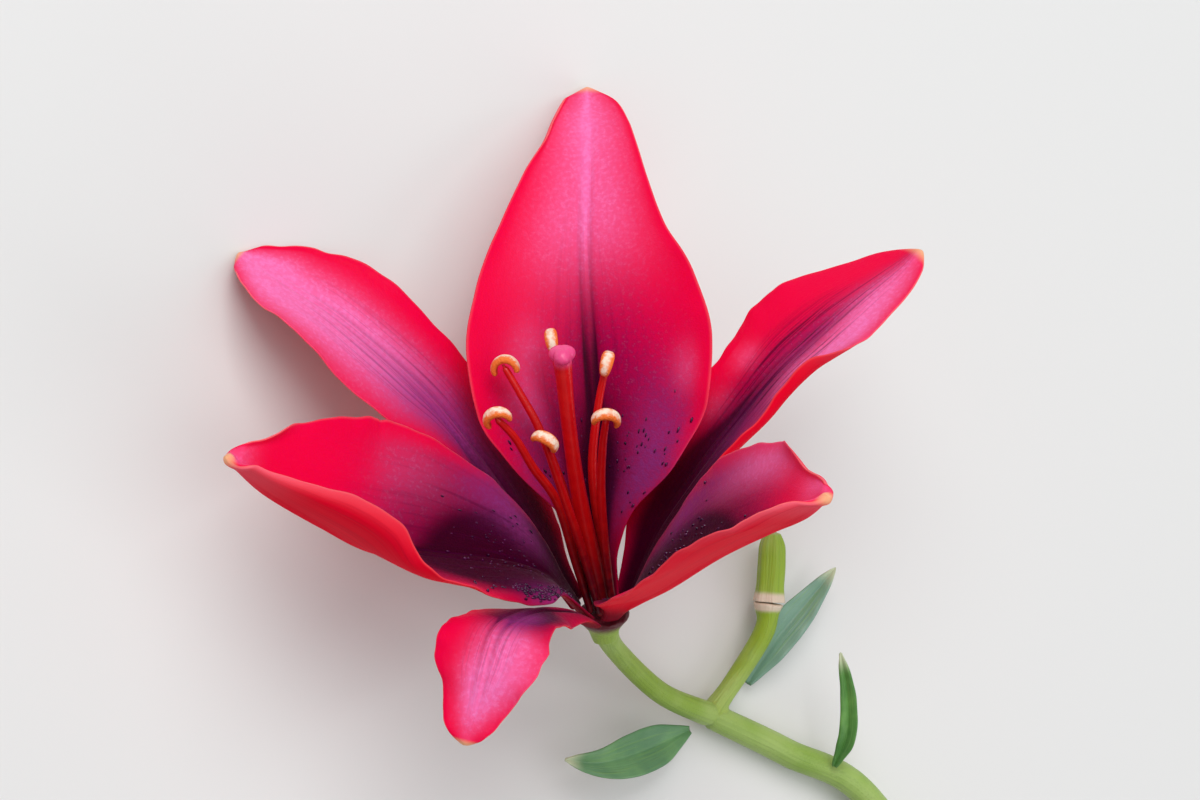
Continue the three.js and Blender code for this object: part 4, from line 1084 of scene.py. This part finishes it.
def setValues(mesh, values):
    for key, value in values.items():
        layer = mesh.attributes.get(key) or mesh.attributes.new(key, "FLOAT", "POINT")
        layer.data.foreach_set("value", np.asarray(value, np.float32))


def makeStem():
    parts = []
    for path, caps in stem["caps"].items():
        def radius(u, values=stem[path + "Radius"]):
            return valueAlong(values, u)

        limb = limbMesh(path, stem[path], radius, radius, stem["grid"], roundDirection, plantToTable, caps)
        parts.append(limb)
    profile = np.array(stem["receptacle"], float)
    stations = np.linspace(0, 1, len(profile))

    def place(s, r):
        out, height = [np.interp(r, stations, profile[:, column]) for column in (0, 1)]
        turn = 2 * math.pi * s
        points = np.stack([out * np.cos(turn), out * np.sin(turn), height], axis=1)
        return onTable(points, bloomToTable), {}

    parts.append(wrappedMesh("receptacle", 48, 60, place))
    whole = bmesh.new()
    for part in parts:
        whole.from_mesh(part)
    # One grown surface: the limbs are melted together, then the joins are eased.
    piece = linked("stemMelt", meshOf(whole, "stem"))
    melt = piece.modifiers.new("melt", "REMESH")
    melt.mode = "VOXEL"
    melt.voxel_size = stem["voxel"]
    ease = piece.modifiers.new("ease", "SMOOTH")
    ease.factor = 0.5
    ease.iterations = 3
    bpy.context.view_layer.update()
    graph = bpy.context.evaluated_depsgraph_get()
    melted = bpy.data.meshes.new_from_object(piece.evaluated_get(graph))
    bpy.data.objects.remove(piece)
    melted.polygons.foreach_set("use_smooth", [True] * len(melted.polygons))
    co = np.empty(len(melted.vertices) * 3)
    melted.vertices.foreach_get("co", co)
    plant = (co.reshape(-1, 3) / metre - np.array(lay["shift"])) @ plantToTable
    found = [nearestOn(plant, stem[key]) for key in ("pedicel", "spent", "main")]
    nearest = np.argmin([item[0] for item in found], axis=0)
    offset = np.choose(nearest[:, None], [item[2] for item in found])
    along = np.choose(nearest, [found[0][1], found[1][1], found[2][1]])
    offset = unit(offset)
    height = (plant @ bloomBasis())[:, 2]
    nearBloom = 1 - smoothStep(np.linalg.norm(plant, axis=1), 4.6, 8.5)
    yellowed = [0.75 - 0.4 * along, 0.85 + 0 * along, 0.15 * (1 - along)]
    setValues(melted, {
        "ringX": offset[:, 0], "ringY": offset[:, 1] + offset[:, 2], "lengthwise": along * 0.35,
        "yellowed": np.choose(nearest, yellowed),
        "scar": np.where(nearest == 1, smoothStep(along, 0.88, 0.93), 0),
        "cut": np.where(nearest == 2, smoothStep(along, 0.9965, 0.9985), 0),
        "maroon": nearBloom * smoothStep(height, -3.4, -0.9),
    })
    return melted


shown(makeStem(), "stem", [skins["stem"]])
print("stem made")


# What is left of the earlier flower
spentOvary = {
    "path": [[31.4, -0.4, -37], [31.9, 6.5, -37], [32.1, 13.2, -36.5]],
    "radius": [2.95, 2.55, 2.55, 2.5, 2.3, 1.2], "grid": (48, 80), "caps": (0, 0.05),
}


def makeSpentOvary():
    def radius(u):
        return valueAlong(spentOvary["radius"], u)

    def section(turn, u):
        return 1 + 0.06 * np.cos(6 * turn) - 0.04 * np.cos(3 * turn)

    def extra(u, turn, at, side):
        zero = np.zeros_like(u)
        return {
            "ringX": np.cos(turn), "ringY": np.sin(turn), "lengthwise": u * 0.2, "yellowed": zero + 0.8,
            "scar": smoothStep(u, 0.93, 1) * 0.6 + 1 - smoothStep(u, 0.08, 0.16), "cut": zero, "maroon": zero}

    return limbMesh(
        "spentOvary", spentOvary["path"], radius, radius, spentOvary["grid"], roundDirection, plantToTable,
        spentOvary["caps"], extra, section)


shown(makeSpentOvary(), "spent_ovary", [skins["stem"]])
print("spent ovary made")


# Leaves, in the plant frame
leaves = {
    "leaf_left": {
        "fold": 25, "half": [0.8, 4.1, 4.4, 2.6, 0.6], "bluish": 0.35,
        "path": [[16.3, -24.1, -31], [8, -27, -24], [0, -28.5, -16], [-7, -27.7, -12]]},
    "leaf_right": {
        "fold": 25, "half": [0.7, 3.3, 3.6, 2.4, 0.6], "bluish": 0.9,
        "path": [[27.6, -16.3, -40.3], [33, -8, -41.5], [39, -1, -42.5], [44.6, 5.8, -43]]},
    "bract": {
        "fold": 30, "half": [0.5, 1.8, 1.9, 1.5, 0.5], "bluish": 0.0,
        "path": [[44.3, -32.3, -42.5], [46.5, -26, -39.5], [46.5, -18, -37.5], [45, -9.9, -36]]},
}
leafShape = {
    "thickness": 0.7, "rib": 0.25, "ribReach": 0.5, "ripple": 0.12, "ripples": 5, "roundFrom": 0.9,
    "tipEnd": 1.0004, "grid": (48, 70),
}


def makeLeaf(name, leaf):
    def middleOf(u, v):
        point = curveAt(leaf["path"], u)
        tangent = tangentOf(lambda w: curveAt(leaf["path"], w), u)
        across = unit(np.cross(tangent, np.array([0, 0, 1.0])))
        inward = np.cross(across, tangent)
        past = np.clip((u - leafShape["roundFrom"]) / (leafShape["tipEnd"] - leafShape["roundFrom"]), 0, 1)
        half = valueAlong(leaf["half"], u) * np.sqrt(1 - past ** 2)
        fold = math.radians(leaf["fold"])
        ripple = leafShape["ripple"] * np.sin(2 * math.pi * leafShape["ripples"] * u) * np.abs(v) ** 3
        point = point + across * (half * v * math.cos(fold))[:, None]
        rise = np.sqrt(v * v + 0.01) - 0.1
        return point + inward * (half * rise * math.sin(fold) + ripple)[:, None], half

    def place(s, u):
        v, inner = acrossFrom(s)
        middle, half = middleOf(u, v)
        normal = surfaceNormal(lambda along, across: middleOf(along, across)[0], u, v)
        edge = np.sqrt(np.clip(1 - np.abs(v) ** 10, 0, 1))
        edge = edge * np.sqrt(np.clip(1 - (2 * np.abs(u - 0.5)) ** 40, 0, 1))
        rib = leafShape["rib"] * bell(v * half, leafShape["ribReach"])
        thick = leafShape["thickness"]
        offset = np.where(inner, thick / 2 - 0.5 * rib, -thick / 2 - rib) * edge
        points = onTable(middle + normal * offset[:, None], plantToTable)
        return points, {"bluish": np.full_like(u, leaf["bluish"]), "paleTip": smoothStep(u, 0.82, 0.98)}

    mesh = wrappedMesh(name, *leafShape["grid"], place)
    uv = cornerUvs(mesh)
    laySurface(mesh, acrossFrom(uv[:, 0])[0], uv[:, 1])
    return mesh


for name, leaf in leaves.items():
    shown(makeLeaf(name, leaf), name, [skins["leaf"]])
print("leaves made")


# Camera, at the photo's viewing angle on the flower as it lies
camera = {"place": (-0.536, 37.86, 595.2), "lens": 100, "sensor": 36}


def makeCamera():
    data = bpy.data.cameras.new("camera")
    data.lens = camera["lens"]
    data.sensor_width = camera["sensor"]
    data.clip_start = 0.01
    item = linked("camera", data)
    place = Matrix(plantToTable.tolist()).to_4x4()
    place.translation = Vector(onTable(np.array([camera["place"]]), plantToTable)[0])
    item.matrix_world = place
    bpy.context.scene.camera = item


# Light and floor
studio = {
    "floor": rgb(0.80, 0.80, 0.79), "world": rgb(0.95, 0.97, 1.0), "worldStrength": 0.34,
    "lights": [
        {"name": "keyLight", "at": (-0.35, 0.75, 0.95), "size": 0.7, "power": 8.5},
        {"name": "fillLight", "at": (0.75, -0.5, 0.8), "size": 0.8, "power": 3.2},
        {"name": "topLight", "at": (0.1, 0.1, 1.3), "size": 0.9, "power": 3.6},
    ],
}


def makeStudio():
    shape = bmesh.new()
    bmesh.ops.create_grid(shape, x_segments=8, y_segments=8, size=3.0)
    mesh = meshOf(shape, "floor")
    mesh.transform(Matrix.Translation((0, 0, -0.0001)))
    material, tree, shader = startMaterial("floorPaint", 0.8, 0.2)
    shader.inputs["Base Color"].default_value = studio["floor"]
    mesh.materials.append(material)
    linked("floor", mesh)
    for given in studio["lights"]:
        data = bpy.data.lights.new(given["name"], "AREA")
        data.energy = given["power"]
        data.size = given["size"]
        item = linked(given["name"], data)
        place = Vector(given["at"])
        item.location = place
        item.rotation_euler = (Vector((0, 0, 0.04)) - place).to_track_quat("-Z", "Y").to_euler()
    world = bpy.data.worlds.new("studio")
    world.use_nodes = True
    background = world.node_tree.nodes["Background"]
    background.inputs["Color"].default_value = studio["world"]
    background.inputs["Strength"].default_value = studio["worldStrength"]
    bpy.context.scene.world = world
    bpy.context.scene.view_settings.view_transform = "Standard"


makeCamera()
makeStudio()
print("camera and studio made")


bpy.context.view_layer.update()
